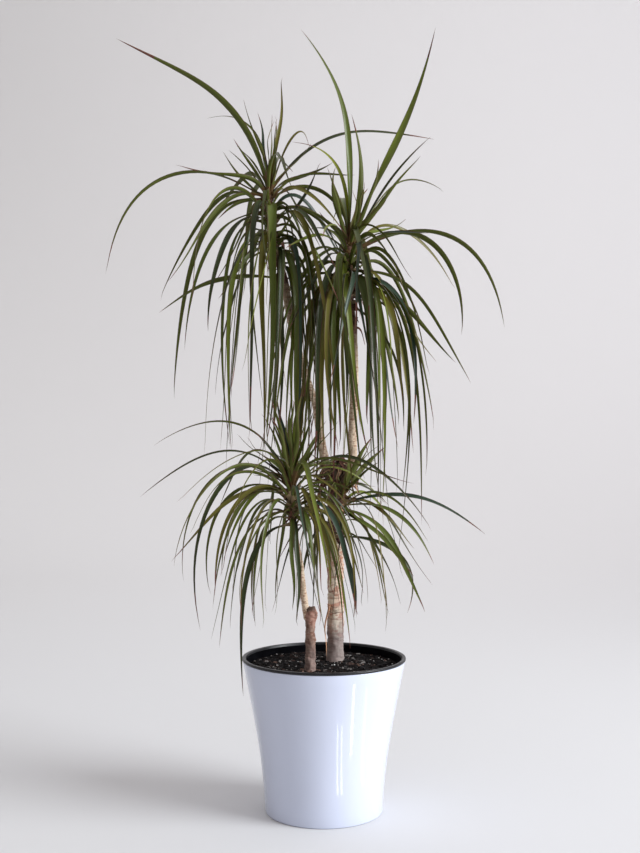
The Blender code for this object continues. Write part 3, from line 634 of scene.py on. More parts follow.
def select_where(thing, kind, wanted):
    """In edit mode, select only the EDGE or FACE parts that the test wants."""
    bpy.ops.mesh.select_mode(type=kind)
    bpy.ops.mesh.select_all(action="DESELECT")
    work = bmesh.from_edit_mesh(thing.data)
    for part in work.edges if kind == "EDGE" else work.faces:
        if wanted(part):
            part.select_set(True)
    bmesh.update_edit_mesh(thing.data)


def select_rings(thing, wanted):
    """In edit mode, select the level edges whose (radius, height) the test wants."""
    def test(edge):
        one, other = (corner.co for corner in edge.verts)
        return abs(one.z - other.z) < 1e-6 and wanted(one.xy.length, one.z)
    select_where(thing, "EDGE", test)


def select_cap(thing, height):
    """In edit mode, select the end face above a height."""
    select_where(thing, "FACE", lambda face: (
        len(face.verts) > 4 and face.calc_center_median().z > height))


def roughen(thing, name, size, strength):
    """Push the surface in and out by a cloudy pattern of that size."""
    texture = bpy.data.textures.new(name, "CLOUDS")
    texture.noise_scale = size
    texture.noise_depth = 3
    lumps = thing.modifiers.new(name, "DISPLACE")
    lumps.texture = texture
    lumps.texture_coords = "LOCAL"
    lumps.strength = strength
    lumps.mid_level = 0.5
    apply_all(thing)


class Heap:
    """Many small shapes, gathered before they become one mesh."""

    def __init__(self):
        self.corners, self.faces, self.slots = [], [], []

    def add(self, corners, faces, slots):
        """Add a shape, its faces counted from its own first corner."""
        start = len(self.corners)
        self.corners += corners
        self.faces += [tuple(start + corner for corner in face) for face in faces]
        self.slots += slots

    def add_leaf(self, rings, tip, faces, slots):
        """Add a leaf, its corners in the order that leaf_faces counts them in."""
        self.add([corner for ring in rings for corner in ring] + [tip], faces, slots)

    def thing(self, name):
        """One object of all the shapes."""
        deselect_all()
        mesh = bpy.data.meshes.new(name)
        mesh.from_pydata([tuple(corner) for corner in self.corners], [], self.faces)
        mesh.polygons.foreach_set("material_index", self.slots)
        thing = bpy.data.objects.new(name, mesh)
        bpy.context.scene.collection.objects.link(thing)
        return thing


def tinted(colour, *shares):
    """A colour with red, green and blue multiplied by a share each, or all by one."""
    return tuple(part * share for part, share in zip(colour, shares * 3))


class Look:
    """A material in the making, with its node tree and its shader."""

    def __init__(self, name, colour, roughness, specular):
        self.material = bpy.data.materials.new(name)
        self.material.use_nodes = True
        self.tree = self.material.node_tree
        self.shader = self.tree.nodes["Principled BSDF"]
        self.give("Base Color", (*colour, 1.0))
        self.give("Roughness", roughness)
        self.give("Specular IOR Level", specular)

    def give(self, name, value, node=None):
        """Set an input of the shader or of a node, or link it to an output."""
        socket = (node or self.shader).inputs[name]
        if isinstance(value, bpy.types.NodeSocket):
            self.tree.links.new(value, socket)
        else:
            socket.default_value = value

    def node(self, kind, inputs, **settings):
        """A new node with its settings and its inputs."""
        made = self.tree.nodes.new("ShaderNode" + kind)
        for name, value in settings.items():
            setattr(made, name, value)
        for name, value in inputs.items():
            self.give(name, value, made)
        return made

    def pattern(self, scale, stretch=(1, 1, 1), detail=4.0):
        """A cloudy pattern on Object coordinates, stretched along the axes."""
        place = self.node("TexCoord", {}).outputs["Object"]
        mapping = self.node("Mapping", {"Vector": place, "Scale": stretch})
        return self.node("TexNoise", {"Vector": mapping.outputs["Vector"], "Scale": scale,
                                      "Detail": detail}).outputs["Fac"]

    def axis(self, name):
        """The Object coordinate along an axis."""
        place = self.node("TexCoord", {}).outputs["Object"]
        return self.node("SeparateXYZ", {"Vector": place}).outputs[name]

    def calculate(self, operation, *numbers):
        """What a Math node makes of numbers and outputs."""
        inputs = dict(enumerate(numbers))
        return self.node("Math", inputs, operation=operation).outputs["Value"]

    def ramp(self, source, low, high, start=0.3, end=0.7):
        """A colour from low to high over part of a pattern's range."""
        made = self.node("ValToRGB", {"Fac": source})
        for index, place, colour in ((0, start, low), (1, end, high)):
            made.color_ramp.elements[index].position = place
            made.color_ramp.elements[index].color = (*colour, 1.0)
        return made.outputs["Color"]

    def mix(self, amount, one, other):
        """A colour on its way to another, plain one."""
        inputs = {"Factor": amount, "A": one, "B": (*other, 1.0)}
        return self.node("Mix", inputs, data_type="RGBA").outputs["Result"]

    def spread(self, source, low, high, start=0.0, end=1.0):
        """A number mapped from one range to another."""
        inputs = {"Value": source, "From Min": start, "From Max": end,
                  "To Min": low, "To Max": high}
        return self.node("MapRange", inputs).outputs["Result"]

    def bump(self, source, distance, strength=1.0):
        """Relief from a pattern, over any relief that the shader has already."""
        inputs = {"Height": source, "Distance": distance, "Strength": strength}
        for link in self.shader.inputs["Normal"].links:
            inputs["Normal"] = link.from_socket
        self.give("Normal", self.node("Bump", inputs).outputs["Normal"])


def glaze_material(colour):
    """Glossy white with the faint unevenness of a thin glaze."""
    look = Look("white_glaze", colour, roughness=0.10, specular=0.35)
    waves = look.pattern(9.0, stretch=(1, 1, 0.25), detail=2.0)
    skin = look.pattern(60.0, detail=2.0)
    runs = look.pattern(150.0, stretch=(1, 1, 0.03), detail=2.0)
    look.give("Base Color", look.ramp(waves, tinted(colour, 0.965), colour))
    look.give("Roughness", look.spread(skin, 0.07, 0.15))
    look.bump(waves, distance=0.0006, strength=0.35)
    look.bump(skin, distance=0.00004, strength=0.5)
    look.bump(runs, distance=0.00006, strength=0.6)
    look.give("Coat Weight", 0.40)
    look.give("Coat Roughness", 0.04)
    return look.material


def liner_material(name, colour, roughness, specular):
    """Black moulded plastic, dusty and a little scuffed."""
    look = Look(name, colour, roughness, specular)
    dust = look.pattern(45.0, detail=6.0)
    grey = tuple(part + 0.003 for part in tinted(colour, 2.0))
    look.give("Base Color", look.ramp(dust, colour, grey, 0.45, 0.8))
    look.give("Roughness", look.spread(dust, roughness - 0.08, roughness + 0.12))
    look.bump(look.pattern(900.0, detail=2.0), distance=0.00006)
    return look.material


def soil_material(colour):
    """Damp dark soil with browner crumbs."""
    look = Look("damp_soil", colour, roughness=0.9, specular=0.10)
    crumbs = look.pattern(260.0, detail=5.0)
    look.give("Base Color", look.ramp(crumbs, colour, tinted(colour, 3.4, 2.8, 2.2), 0.45, 0.75))
    look.bump(crumbs, distance=0.0012)
    return look.material


def bark_material(name, bark, scar, patch, zones=()):
    """Mottled bark with fine fibres and dark leaf scars. Each zone lays another
    colour over it, as (colour, amount, height of none, height of full); some zones give
    the bark's own colours, and the darkest add painted shade where the crowns shade a limb."""
    look = Look(name, bark, roughness=0.8, specular=0.3)
    clouds = look.pattern(patch, stretch=(1, 1, 0.6), detail=5.0)
    spots = look.pattern(patch * 2.2, stretch=(1, 1, 1.9), detail=3.0)
    thread = look.pattern(patch * 9.0, stretch=(1, 1, 0.10), detail=3.0)
    fair = tuple(min(part, 0.85) for part in tinted(bark, 1.22))
    colour = look.ramp(clouds, tinted(bark, 0.68, 0.63, 0.58), fair, 0.34, 0.62)
    stained = look.spread(spots, 0.85, 0.0, 0.37, 0.50)
    colour = look.mix(stained, colour, tinted(bark, 0.52, 0.34, 0.28))
    dark = look.spread(thread, 0.30, 0.0, 0.30, 0.52)
    colour = look.mix(dark, colour, tinted(bark, 0.42))
    rings = look.node("Attribute", {}, attribute_name="scar").outputs["Fac"]
    broken = look.calculate("MULTIPLY", rings, look.spread(clouds, 0.35, 1.0, 0.35, 0.55))
    colour = look.mix(broken, colour, scar)
    look.give("Roughness", look.spread(clouds, 0.65, 0.92))
    look.bump(thread, distance=0.0005, strength=0.8)
    look.bump(spots, distance=0.0016, strength=0.9)
    uneven = look.calculate("MULTIPLY_ADD", clouds, ZONE_UNEVENNESS, look.axis("Z"))
    above = ZONE_UNEVENNESS / 2
    for other, amount, none_at, full_at in zones:
        low, high = min(none_at, full_at) + above, max(none_at, full_at) + above
        ends = (0.0, amount) if none_at < full_at else (amount, 0.0)
        colour = look.mix(look.spread(uneven, *ends, low, high), colour, other)
    look.give("Base Color", colour)
    return look.material


def dry_material(name, colour, fineness):
    """Dead wood or leaf, streaked darker and lighter."""
    look = Look(name, colour, roughness=0.85, specular=0.25)
    streaks = look.pattern(fineness, stretch=(1, 1, 0.35))
    fair = tuple(min(part, 1.0) for part in tinted(colour, 1.6))
    look.give("Base Color", look.ramp(streaks, tinted(colour, 0.45), fair, 0.32, 0.68))
    look.bump(streaks, distance=0.0005)
    return look.material


def dry_materials(colours, fineness):
    """One dry material for each named colour."""
    return [dry_material(name, colour, fineness) for name, colour in colours.items()]


def leaf_materials(margin):
    """Plain colours of the leaves' parts and tones, in the order of LEAF_SLOTS."""
    parts = dict(LEAF_PART_LOOKS, margin=(margin, 0.45))
    looks = [parts.get(name) or (TONES[name], 0.32) for name in LEAF_SLOTS]
    return [Look("leaf_" + name, colour, roughness, specular=0.26).material
            for name, (colour, roughness) in zip(LEAF_SLOTS, looks)]


class DRAGONTREE_OT_outer_pot(bpy.types.Operator):
    """Model the glossy white outer pot"""
    bl_idname = "dragontree.outer_pot"
    bl_label = "Outer Pot"

    def execute(self, context):
        sizes = context.scene.dragontree_pot
        rising = [SHELL_TOP * step / 14 for step in range(1, 15)]
        falling = [height for height in reversed(rising) if POT_FLOOR < height < SHELL_TOP]
        profile = [(pot_radius(height), height) for height in [0.0] + rising]
        profile += [(pot_radius(height) - POT_WALL, height)
                    for height in [SHELL_TOP] + falling + [POT_FLOOR]]
        thing = turned(profile, sizes.sides)
        foot = pot_radius(0.0)
        select_rings(thing, lambda radius, height: height < 1e-5 and radius > foot - 1e-3)
        bpy.ops.mesh.bevel(offset=sizes.rim_bevel * 1.6, segments=4, affect="EDGES")
        select_rings(thing, lambda radius, height: abs(height - SHELL_TOP) < 1e-5)
        bpy.ops.mesh.bevel(offset=sizes.rim_bevel * 0.5, segments=3, affect="EDGES")
        smooth(thing, degrees=40)
        glaze = glaze_material(sizes.glaze_colour)
        finish_piece(thing, "outer_pot", [glaze], ["pot_shell"])
        return {"FINISHED"}


class DRAGONTREE_OT_growing_pot(bpy.types.Operator):
    """Model the black growing pot, its rolled lip and its lifting lug"""
    bl_idname = "dragontree.growing_pot"
    bl_label = "Growing Pot"

    def profile(self):
        """Half section of the pot as (radius, height), up its outside and down its inside."""
        floor, lip = POT_FLOOR + SEAM, SHELL_TOP + SEAM
        rising = [floor + (SHELL_TOP - 0.003 - floor) * step / 12 for step in range(13)]
        profile = [(pot_radius(height) - POT_WALL - SEAM, height) for height in rising]
        rim = POT_RIM_RADIUS - LIP_SET_IN
        profile += [(pot_radius(SHELL_TOP) - POT_WALL - 0.0008, lip), (rim, lip)]
        for step in range(7):
            turn = math.pi * step / 6
            up = (POT_TOP - lip) * (0.5 - 0.5 * math.cos(turn))
            profile.append((rim + LIP_ROLL * math.sin(turn), lip + 0.0001 + up * 0.98))
        profile += [(POT_RIM_RADIUS - inwards, POT_TOP - down) for inwards, down in LIP_STEPS]
        profile += [(pot_radius(height) - LINER_INSIDE, height) for height in reversed(rising)
                    if floor + 0.003 < height < POT_TOP - 0.012]
        return profile + [(pot_radius(floor) - LINER_INSIDE, floor + LINER_WALL)]

    def add_lug(self, thing, width):
        """Join the lifting lug to the left of the lip."""
        deselect_all()
        low, high = SHELL_TOP + SEAM + LUG_ABOVE_SHELL, POT_TOP - LUG_BELOW_RIM
        middle = (-POT_RIM_RADIUS - LUG_OUT, 0.0, (low + high) / 2)
        bpy.ops.mesh.primitive_cube_add(size=1.0, location=middle)
        bpy.ops.transform.resize(value=(LUG_REACH, width, high - low))
        bpy.ops.object.transform_apply(location=True, scale=True)
        bpy.ops.object.mode_set(mode="EDIT")
        bpy.ops.mesh.select_all(action="SELECT")
        bpy.ops.mesh.bevel(offset=LUG_ROUNDING, segments=3, affect="EDGES")
        bpy.ops.object.mode_set(mode="OBJECT")
        lug = bpy.context.object
        union = thing.modifiers.new("lug", "BOOLEAN")
        union.operation = "UNION"
        union.solver = "EXACT"
        union.object = lug
        apply_all(thing)
        bpy.data.objects.remove(lug)

    def execute(self, context):
        sizes = context.scene.dragontree_pot
        thing = turned(self.profile(), sizes.sides)
        self.add_lug(thing, sizes.lug_width)
        smooth(thing, degrees=35)
        colour = sizes.liner_colour
        dull = liner_material("growing_pot_wall", colour, roughness=0.75, specular=0.03)
        satin = liner_material(
            "growing_pot_lip", tinted(colour, 2.0), roughness=0.34, specular=0.42)
        finish_piece(thing, "growing_pot", [dull, satin], ["inner_pot"])
        for face in thing.data.polygons:
            if face.center.z > POT_TOP - LIP_DEPTH:
                face.material_index = 1
        return {"FINISHED"}


def soil_height(x, y, relief):
    """Height of the soil's uneven top."""
    lumps = noise.noise(Vector((x * 40, y * 40, 1.7)))
    lumps += noise.noise(Vector((x * 130, y * 130, 5.2))) * 0.6
    return SOIL_TOP - relief * (0.9 - 0.8 * lumps)


def chunk(centre, size, chance, corners):
    """Corners of a lopsided bit, turned its own way."""
    turn = Matrix.Rotation(chance.uniform(0, math.tau), 3, "Z")
    turn = turn @ Matrix.Rotation(chance.uniform(-0.9, 0.9), 3, "X")
    made = []
    for corner in corners:
        loose = Vector(corner) * chance.uniform(0.72, 1.15)
        made.append(centre + turn @ (loose * Vector(size)))
    return made


def pebble_shape():
    """Corners and faces of a coarse ball."""
    work = bmesh.new()
    bmesh.ops.create_icosphere(work, subdivisions=1, radius=1.0)
    corners = [tuple(corner.co) for corner in work.verts]
    faces = [tuple(corner.index for corner in face.verts) for face in work.faces]
    work.free()
    return corners, faces


class DRAGONTREE_OT_soil(bpy.types.Operator):
    """Fill the growing pot with soil, bark chips and white granules"""
    bl_idname = "dragontree.soil"
    bl_label = "Soil"

    def spots(self, count, chance, spread_out, relief):
        """Places on the soil that miss the canes."""
        radius = pot_radius(SOIL_TOP) - LINER_INSIDE - 0.003
        canes = [(LIMBS[name][0], LIMBS[name][3](SOIL_TOP)) for name in ("tall_cane", "short_cane")]
        made = []
        while len(made) < count:
            turn = chance.uniform(0, math.tau)
            place = level(turn) * (radius * chance.random() ** spread_out)
            place.z = soil_height(place.x, place.y, relief)
            feet = [(place.xy - Vector(line[0][:2]) * MM).length - thick for line, thick in canes]
            if min(feet) > 0.001:
                made.append(place)
        return made

    def bed(self, sizes):
        """The soil itself, its top cut into rings that follow its relief."""
        bottom = POT_FLOOR + SEAM * 2 + 0.0026
        heights = [bottom + (SOIL_TOP - 0.0016 - bottom) * step / 5 for step in range(6)]
        profile = [(pot_radius(height) - LINER_INSIDE - SEAM - (0.004 if step == 0 else 0), height)
                   for step, height in enumerate(heights)]
        thing = turned(profile, 96)
        select_cap(thing, heights[3])
        edge = profile[-1][0]
        for _ in range(SOIL_RINGS):
            bpy.ops.mesh.inset(thickness=edge * 0.98 / SOIL_RINGS)
        bpy.ops.mesh.poke()
        bpy.ops.object.mode_set(mode="OBJECT")
        for corner in thing.data.vertices:
            if corner.co.z > heights[4] and corner.co.xy.length < edge - 0.001:
                corner.co.z = soil_height(corner.co.x, corner.co.y, sizes.soil_relief)
        smooth(thing, degrees=60)
        finish_piece(thing, "soil_bed", [soil_material(sizes.soil_colour)], ["soil"])

    def execute(self, context):
        sizes = context.scene.dragontree_pot
        self.bed(sizes)
        chance = random.Random(21)
        chips = Heap()
        for place in self.spots(sizes.chips, chance, 0.5, sizes.soil_relief):
            long = CHIP_LEAST + CHIP_MORE * chance.random() ** 2
            size = (long, long * chance.uniform(0.25, 0.7), long * chance.uniform(0.22, 0.5))
            lift = Vector((0.0, 0.0, chance.uniform(-0.2, 0.6) * size[2]))
            corners = chunk(place + lift, size, chance, BOX_CORNERS)
            cluster = max(0.0, noise.noise(place * 55) + 0.10)
            shares = (0.80, 0.55 * cluster, 0.16 * cluster, 0.40 * cluster)
            chips.add(corners, BOX_FACES, chance.choices(range(4), shares) * len(BOX_FACES))
        finish_piece(chips.thing("bark_chips"), "bark_chips",
                     dry_materials(CHIP_COLOURS, 300.0), ["soil"])

        ball, ball_faces = pebble_shape()
        granules = Heap()
        for place in self.spots(sizes.granules, chance, 0.55, sizes.soil_relief):
            if noise.noise(place * 42 + Vector((3.0, 0.0, 0.0))) < chance.uniform(-0.3, 0.5):
                continue
            size = [GRANULE_LEAST + GRANULE_MORE * chance.random() ** 3] * 3
            corners = chunk(place + Vector((0, 0, size[2] * 0.5)), size, chance, ball)
            granules.add(corners, ball_faces, chance.choices((0, 1), (0.6, 0.4)) * len(ball_faces))
        finish_piece(granules.thing("white_granules"), "white_granules",
                     dry_materials(GRANULE_COLOURS, 500.0), ["soil"])
        return {"FINISHED"}


def scarred_rings(places, low, high, radius_at, pitch, depth, chance):
    """Rings up a limb, four at each leaf scar: centre, radius, relief, scar
    and the scar's heading and half arc."""
    rings = [(low, 0.0, 0.0, 0.0, 1.0)]
    height = low + pitch * chance.uniform(0.6, 1.2)
    while height < high - pitch * 0.5:
        deep = depth * chance.uniform(0.3, 1.2)
        dark = chance.uniform(0.25, 1.0)
        heading = chance.uniform(0, math.tau)
        arc = chance.uniform(0.7, 2.6)
        rings += [(height - pitch * 0.16, deep * 0.8, 0.1 * dark, heading, arc),
                  (height, -deep, dark, heading, arc),
                  (height + pitch * 0.13, -deep * 0.25, 0.3 * dark, heading, arc),
                  (height + pitch * 0.42, 0.0, 0.0, heading, arc)]
        height += pitch * chance.uniform(0.65, 1.45)
    rings.append((high, 0.0, 0.0, 0.0, 1.0))
    rings = [ring for number, ring in enumerate(rings)
             if number == 0 or ring[0] - rings[number - 1][0] > 1e-4]
    return [(centre_line(places, ring[0]), radius_at(ring[0])) + ring[1:] for ring in rings]


def grow_limb(rings, sides, lean, wander):
    """Extrude a limb through its rings, each leaning a little its own way,
    then press in the leaf scars and note them on the limb's points."""
    thing = add_disc(*rings[0][:2], sides)
    before = 0.0
    for number in range(1, len(rings)):
        extrude_to([ring[:2] for ring in rings[number - 1:number + 1]])
        now = lean * noise.noise(rings[number][0] * 60)
        bpy.ops.transform.rotate(
            value=now - before, orient_axis="Y", center_override=rings[number][0])
        before = now
    turn_faces()
    bpy.ops.object.mode_set(mode="OBJECT")
    mesh = thing.data
    if len(mesh.vertices) != len(rings) * sides:
        raise RuntimeError("a limb has lost its rings")
    values = []
    for index, corner in enumerate(mesh.vertices):
        number = index // sides
        centre, _, relief, scar, heading, arc = rings[number]
        out = corner.co - centre
        out.z = 0.0
        out.normalize()
        away = abs((math.atan2(out.y, out.x) - heading + math.pi) % math.tau - math.pi)
        share = min(max((arc - away) / 0.5 + 0.5, 0.0), 1.0)
        corner.co += out * relief * (0.35 + 0.65 * share)
        if 0 < number < len(rings) - 1:
            corner.co.z += wander * noise.noise(out * 1.3 + centre * 45)
        values.append(scar * (0.18 + 0.82 * share))
    mesh.attributes.new("scar", "FLOAT", "POINT").data.foreach_set("value", values)
    return thing


class DRAGONTREE_OT_canes(bpy.types.Operator):
    """Grow the two old canes with their leaf scars and cut tops"""
    bl_idname = "dragontree.canes"
    bl_label = "Canes"

    def execute(self, context):
        sizes = context.scene.dragontree_limbs
        bark = sizes.cane_colour
        grey = tinted(bark, 0.25, 0.31, 0.38)
        # dark: on the tall cane's top it is painted shade under the crowns over weathered bark; on the
        # short cane it is its dead stub's own colour.
        dark = tinted(bark, 0.080, 0.075, 0.068)
        rosy = tinted(bark, 0.48, 0.32, 0.30)
        looks = {
            "tall_cane": (bark, 42.0, (
                # The upper zone is painted shade from the crowns, over weathered bark.
                (grey, 0.90, 0.350, 0.290), (dark, 0.85, 0.445, 0.490))),
            "short_cane": (tinted(bark, 0.30), 60.0, (
                (grey, 0.45, 0.300, 0.260), (rosy, 0.34, 0.318, 0.332), (dark, 0.92, 0.342, 0.348))),
        }
        cut = dry_material("cut_wood", (0.090, 0.060, 0.045), 120.0)
        for number, (name, (colour, patch, zones)) in enumerate(looks.items()):
            places, low, high, radius_at = LIMBS[name]
            rings = scarred_rings(
                places, low - 0.004, high, radius_at,
                sizes.cane_scar_pitch, sizes.scar_depth * 1.5, random.Random(31 + number))
            thing = grow_limb(rings, sizes.cane_sides, lean=0.22, wander=0.0042)
            bpy.ops.object.mode_set(mode="EDIT")
            select_cap(thing, high - 0.004)
            for inset, sink in CUT_STEPS:
                bpy.ops.mesh.inset(thickness=inset)
                bpy.ops.transform.translate(value=(0.0, 0.0, -sink))
            bpy.ops.mesh.poke()
            bpy.ops.object.mode_set(mode="OBJECT")
            roughen(thing, name + "_lumps", size=0.014, strength=0.0050)
            roughen(thing, name + "_grain", size=0.0050, strength=0.0030)
            made = bark_material(name + "_bark", colour, sizes.scar_colour, patch, zones)
            finish_piece(thing, name + "_bark", [made, cut], [name])
            for face in thing.data.polygons:
                middle = centre_line(places, min(face.center.z, high))
                inside = (face.center.xy - middle.xy).length < radius_at(high) - 0.0020
                face.material_index = 1 if inside and face.center.z > high - 0.006 else 0
            smooth(thing, degrees=50)
        return {"FINISHED"}


class DRAGONTREE_OT_stems(bpy.types.Operator):
    """Grow the pale stems that leave the canes"""
    bl_idname = "dragontree.stems"
    bl_label = "Stems"

    def execute(self, context):
        sizes = context.scene.dragontree_limbs
        bark = sizes.stem_colour
        # Dark bark near the crowns, partly the stems' own colour and partly painted shade from the
        # crowns.
        dark = tinted(bark, 0.20, 0.17, 0.14)
        for number, (name, zones) in enumerate(DARK_AND_SHADED_STRETCHES.items()):
            rings = scarred_rings(*LIMBS[name], sizes.stem_scar_pitch, sizes.scar_depth,
                                  random.Random(41 + number))
            thing = grow_limb(rings, sizes.stem_sides, lean=0.25, wander=0.0016)
            roughen(thing, name + "_lumps", size=0.014, strength=0.0012)
            roughen(thing, name + "_grain", size=0.0035, strength=0.0005)
            made = bark_material(name + "_bark", bark, sizes.scar_colour, 70.0,
                                 [(dark,) + zone for zone in zones])
            finish_piece(thing, name + "_bark", [made], [name])
            smooth(thing, degrees=50)
        return {"FINISHED"}


def blend(table, age):
    """Value of an age table at an age."""
    for index in range(len(AGES) - 1):
        if age <= AGES[index + 1]:
            part = (age - AGES[index]) / (AGES[index + 1] - AGES[index])
            return table[index] * (1 - part) + table[index + 1] * part
    return table[-1]


def curve_point(points, t):
    """Point of a Bezier curve."""
    s = 1 - t
    return (points[0] * s ** 3 + points[1] * (3 * s * s * t)
            + points[2] * (3 * s * t * t) + points[3] * t ** 3)


def leaf_curve(root, leaf):
    """Four control points of a leaf's midline."""
    heading, reach, rise, lift, fall = leaf[1:6]
    outward = level(math.radians(heading))
    upward = Vector((0.0, 0.0, 1.0))
    reach, rise = reach * MM, rise * MM
    chord = math.hypot(reach, rise)
    bend = BEND / math.cos(math.radians(abs(lift - fall)) / 4) ** 2
    first = bend * (chord if rise > 0 else reach - 0.25 * rise)
    up, down = math.radians(lift), math.radians(fall)
    tip = root + outward * reach + upward * rise
    after_root = root + (outward * math.cos(up) + upward * math.sin(up)) * first
    before_tip = tip - (outward * math.cos(down) + upward * math.sin(down)) * (bend * chord)
    return root, after_root, before_tip, tip


def leaf_width(share):
    """Blade width along a leaf as a share of its full width."""
    swell = 0.62 + 0.38 * math.sin(min(share / WIDEST_AT, 1.0) * math.pi / 2)
    taper = 1.0 - max(0.0, (share - WIDEST_AT) / (1.0 - WIDEST_AT)) ** 2.0
    return swell * (0.03 + 0.97 * taper)


def leaf_rings(root, leaf, sway, sizes, ripple, clasp):
    """Cross sections along a leaf, seven points on top and five below, and its tip."""
    points = leaf_curve(root, leaf)
    across = level(math.radians(leaf[1]) + math.pi / 2)
    twist = math.radians(leaf[6])
    full = leaf[7] * sizes.breadth * MM
    rings = []
    for number in range(sizes.rings):
        # The midline sways aside and ripples, and the blade turns about it.
        share = number / sizes.rings
        here = curve_point(points, share) + across * sway * share * share
        here += across * math.sin(share * 9.0 + ripple) * RIPPLE * share
        ahead = curve_point(points, min(share + 0.03, 1.0))
        behind = curve_point(points, max(share - 0.03, 0.0))
        along = (ahead - behind).normalized()
        normal = along.cross(across).normalized()
        angle = twist * min(share * 2.2, 1.0) + 0.25 * math.sin(share * 7.0 + ripple * 2)
        side = across * math.cos(angle) + normal * math.sin(angle)
        under = along.cross(side)
        if under.dot(normal) > 0:
            under = -under
        # The foot clasps the stem, and the blade is cupped, most of all at its foot.
        held = max(0.0, 1.0 - share / CLASP_END)
        half = full * leaf_width(share) / 2 * (1 - held) + clasp * held
        cup = math.radians(CUP + 12 * max(0.0, 1.0 - share / 0.35) + 24 * held)
        cup = math.tan(cup) * (1.0 - 0.5 * share)
        margin = min(sizes.margin, half * 0.45)
        top = (half, half - margin, half * 0.46, 0.0, -half * 0.46, margin - half, -half)
        thick = sizes.thickness * (1.0 - 0.5 * share)
        below = zip(reversed(top[1:-1]), (0.35, 0.6, 1.0, 0.6, 0.35))
        ring = []
        for spot, depth in [(spot, 0.0) for spot in top] + list(below):
            lift = abs(spot) * cup * (0.55 + 0.45 * abs(spot) / half)
            ring.append(here + side * spot - under * (lift - thick * depth))
        rings.append(ring)
    return rings, curve_point(points, 1.0) + across * sway


def leaf_faces(rings, tone, base, tip_start, base_end):
    """Faces and material slots of a leaf, from its root to its tip."""
    count = len(rings[0])
    faces, slots = [], []
    for ring in range(len(rings)):
        share = ring / len(rings)
        for side in range(count):
            a = ring * count + side
            b = ring * count + (side + 1) % count
            last = ring == len(rings) - 1
            faces.append((b, a, len(rings) * count) if last else (b, a, a + count, b + count))
            part = RING_PARTS[side]
            if share >= tip_start:
                part = "tip"
            elif share < base_end:
                part = base
            slots.append(LEAF_SLOTS.index(tone if part == "top" else part))
    faces.append(tuple(range(count)))
    slots.append(LEAF_SLOTS.index(base))
    return faces, slots


def crown_ages(crown, fullness):
    """Ages of the leaves that a crown's rule deals out, the extra young ones last."""
    count = round(crown["fill"] * fullness)
    ages = [((index + 0.5) / count) ** 0.85 for index in range(count)]
    return ages + [0.10 * (index + 0.5) / crown["young"] for index in range(crown["young"])]


def fill_leaf(crown, age, index, attempt, chance):
    """One leaf dealt out by the crown's rule, from its age and place in the order."""
    scale = crown["scale"]
    span = crown["top"] - crown["floor"] - crown["bare"]
    height = crown["top"] - 12 - (span - 18) * age
    heading = crown["start"] + index * GOLDEN_ANGLE + chance.uniform(-14, 14)
    heading += attempt * chance.uniform(-9, 9)
    reach = blend(AGE_REACH, age) * scale * crown["wide"] * chance.uniform(0.6, 1.45)
    reach *= 1.0 + DEPTH_REACH * abs(math.sin(math.radians(heading)))
    rise = blend(AGE_RISE, age) * scale * chance.uniform(0.62, 1.28)
    rise += chance.uniform(-30, 30) * scale
    lift = blend(AGE_LIFT, age) + chance.uniform(-12, 12)
    fall = blend(AGE_FALL, age) + chance.uniform(-8, 12)
    twist = chance.uniform(25, 80) * chance.choice((-1, 1))
    width = blend(AGE_WIDTH, age) * chance.uniform(0.75, 1.15) * (0.1 + 0.9 * scale)
    sway = chance.uniform(-0.075, 0.075) * scale
    return (height, heading % 360, reach, rise, lift, fall, twist, width), sway


def faced(leaf, looks):
    """A sideways leaf with its blade turned to show its width from the front."""
    turn = 62 * abs(math.cos(math.radians(leaf[1]))) * looks.choice((-1, 1))
    return leaf[:6] + (turn if abs(turn) > abs(leaf[6]) else leaf[6],) + leaf[7:]


def slimmed(leaf, crown):
    """A leaf as wide as its crown's slim makes it."""
    return leaf[:7] + (leaf[7] * crown["slim"],) + leaf[8:]


def tube_tree(rings, sides):
    """Search tree of a round tube through (centre, radius) rings."""
    corners = [tuple(centre + level(math.tau * side / sides) * radius)
               for centre, radius in rings for side in range(sides)]
    faces = []
    for start in range(0, len(corners) - sides, sides):
        for side in range(sides):
            a, b = start + side, start + (side + 1) % sides
            faces.append((a, b, b + sides, a + sides))
    return BVHTree.FromPolygons(corners, faces)


def limb_trees():
    """Search trees of the limbs and the pot, that leaves keep clear of."""
    limbs = dict(LIMBS)
    for crown in CROWNS:
        limbs[crown["name"]] = (crown["stem"], crown["floor"] * MM, crown["top"] * MM,
                                crown_core_radius(crown))
    trees = {}
    for name, (places, low, high, radius_at) in limbs.items():
        heights = [low + (high - low) * step / 24 for step in range(25)]
        rings = [(centre_line(places, height), radius_at(height) + LIMB_CLEARANCE)
                 for height in heights]
        trees[name] = tube_tree(rings, 10)
    trees["pot"] = tube_tree(upright_rings((
        (0.0, 0.0), (POT_FOOT_RADIUS, 0.0),
        (POT_RIM_RADIUS + 0.003, POT_TOP + 0.001), (0.0, SOIL_TOP))), 48)
    return trees


def strip_tree(rings, tip, skip):
    """Search tree of a leaf's top, without its first rings."""
    kept = rings[skip:]
    corners = [tuple(ring[side]) for ring in kept for side in (0, 3, 6)] + [tuple(tip)]
    faces = []
    for ring in range(len(kept) - 1):
        for side in (0, 1):
            a = ring * 3 + side
            faces.append((a, a + 1, a + 4, a + 3))
    last = (len(kept) - 1) * 3
    faces += [(last, last + 1, len(corners) - 1), (last + 1, last + 2, len(corners) - 1)]
    return BVHTree.FromPolygons(corners, faces)


def fits(rings, tip, own, trees):
    """True where a leaf stays in the frame's box and clear of limbs and pot."""
    low, high = CAD_BOX
    if tip.z < LOWEST_TIP:
        return False
    for spot in [tip] + [ring[side] for ring in rings for side in (0, 6)]:
        for axis in range(3):
            if not low[axis] + MM <= spot[axis] <= high[axis] - MM:
                return False
    others, itself = strip_tree(rings, tip, 1), strip_tree(rings, tip, 5)
    return not any((itself if name == own else others).overlap(tree)
                   for name, tree in trees.items())


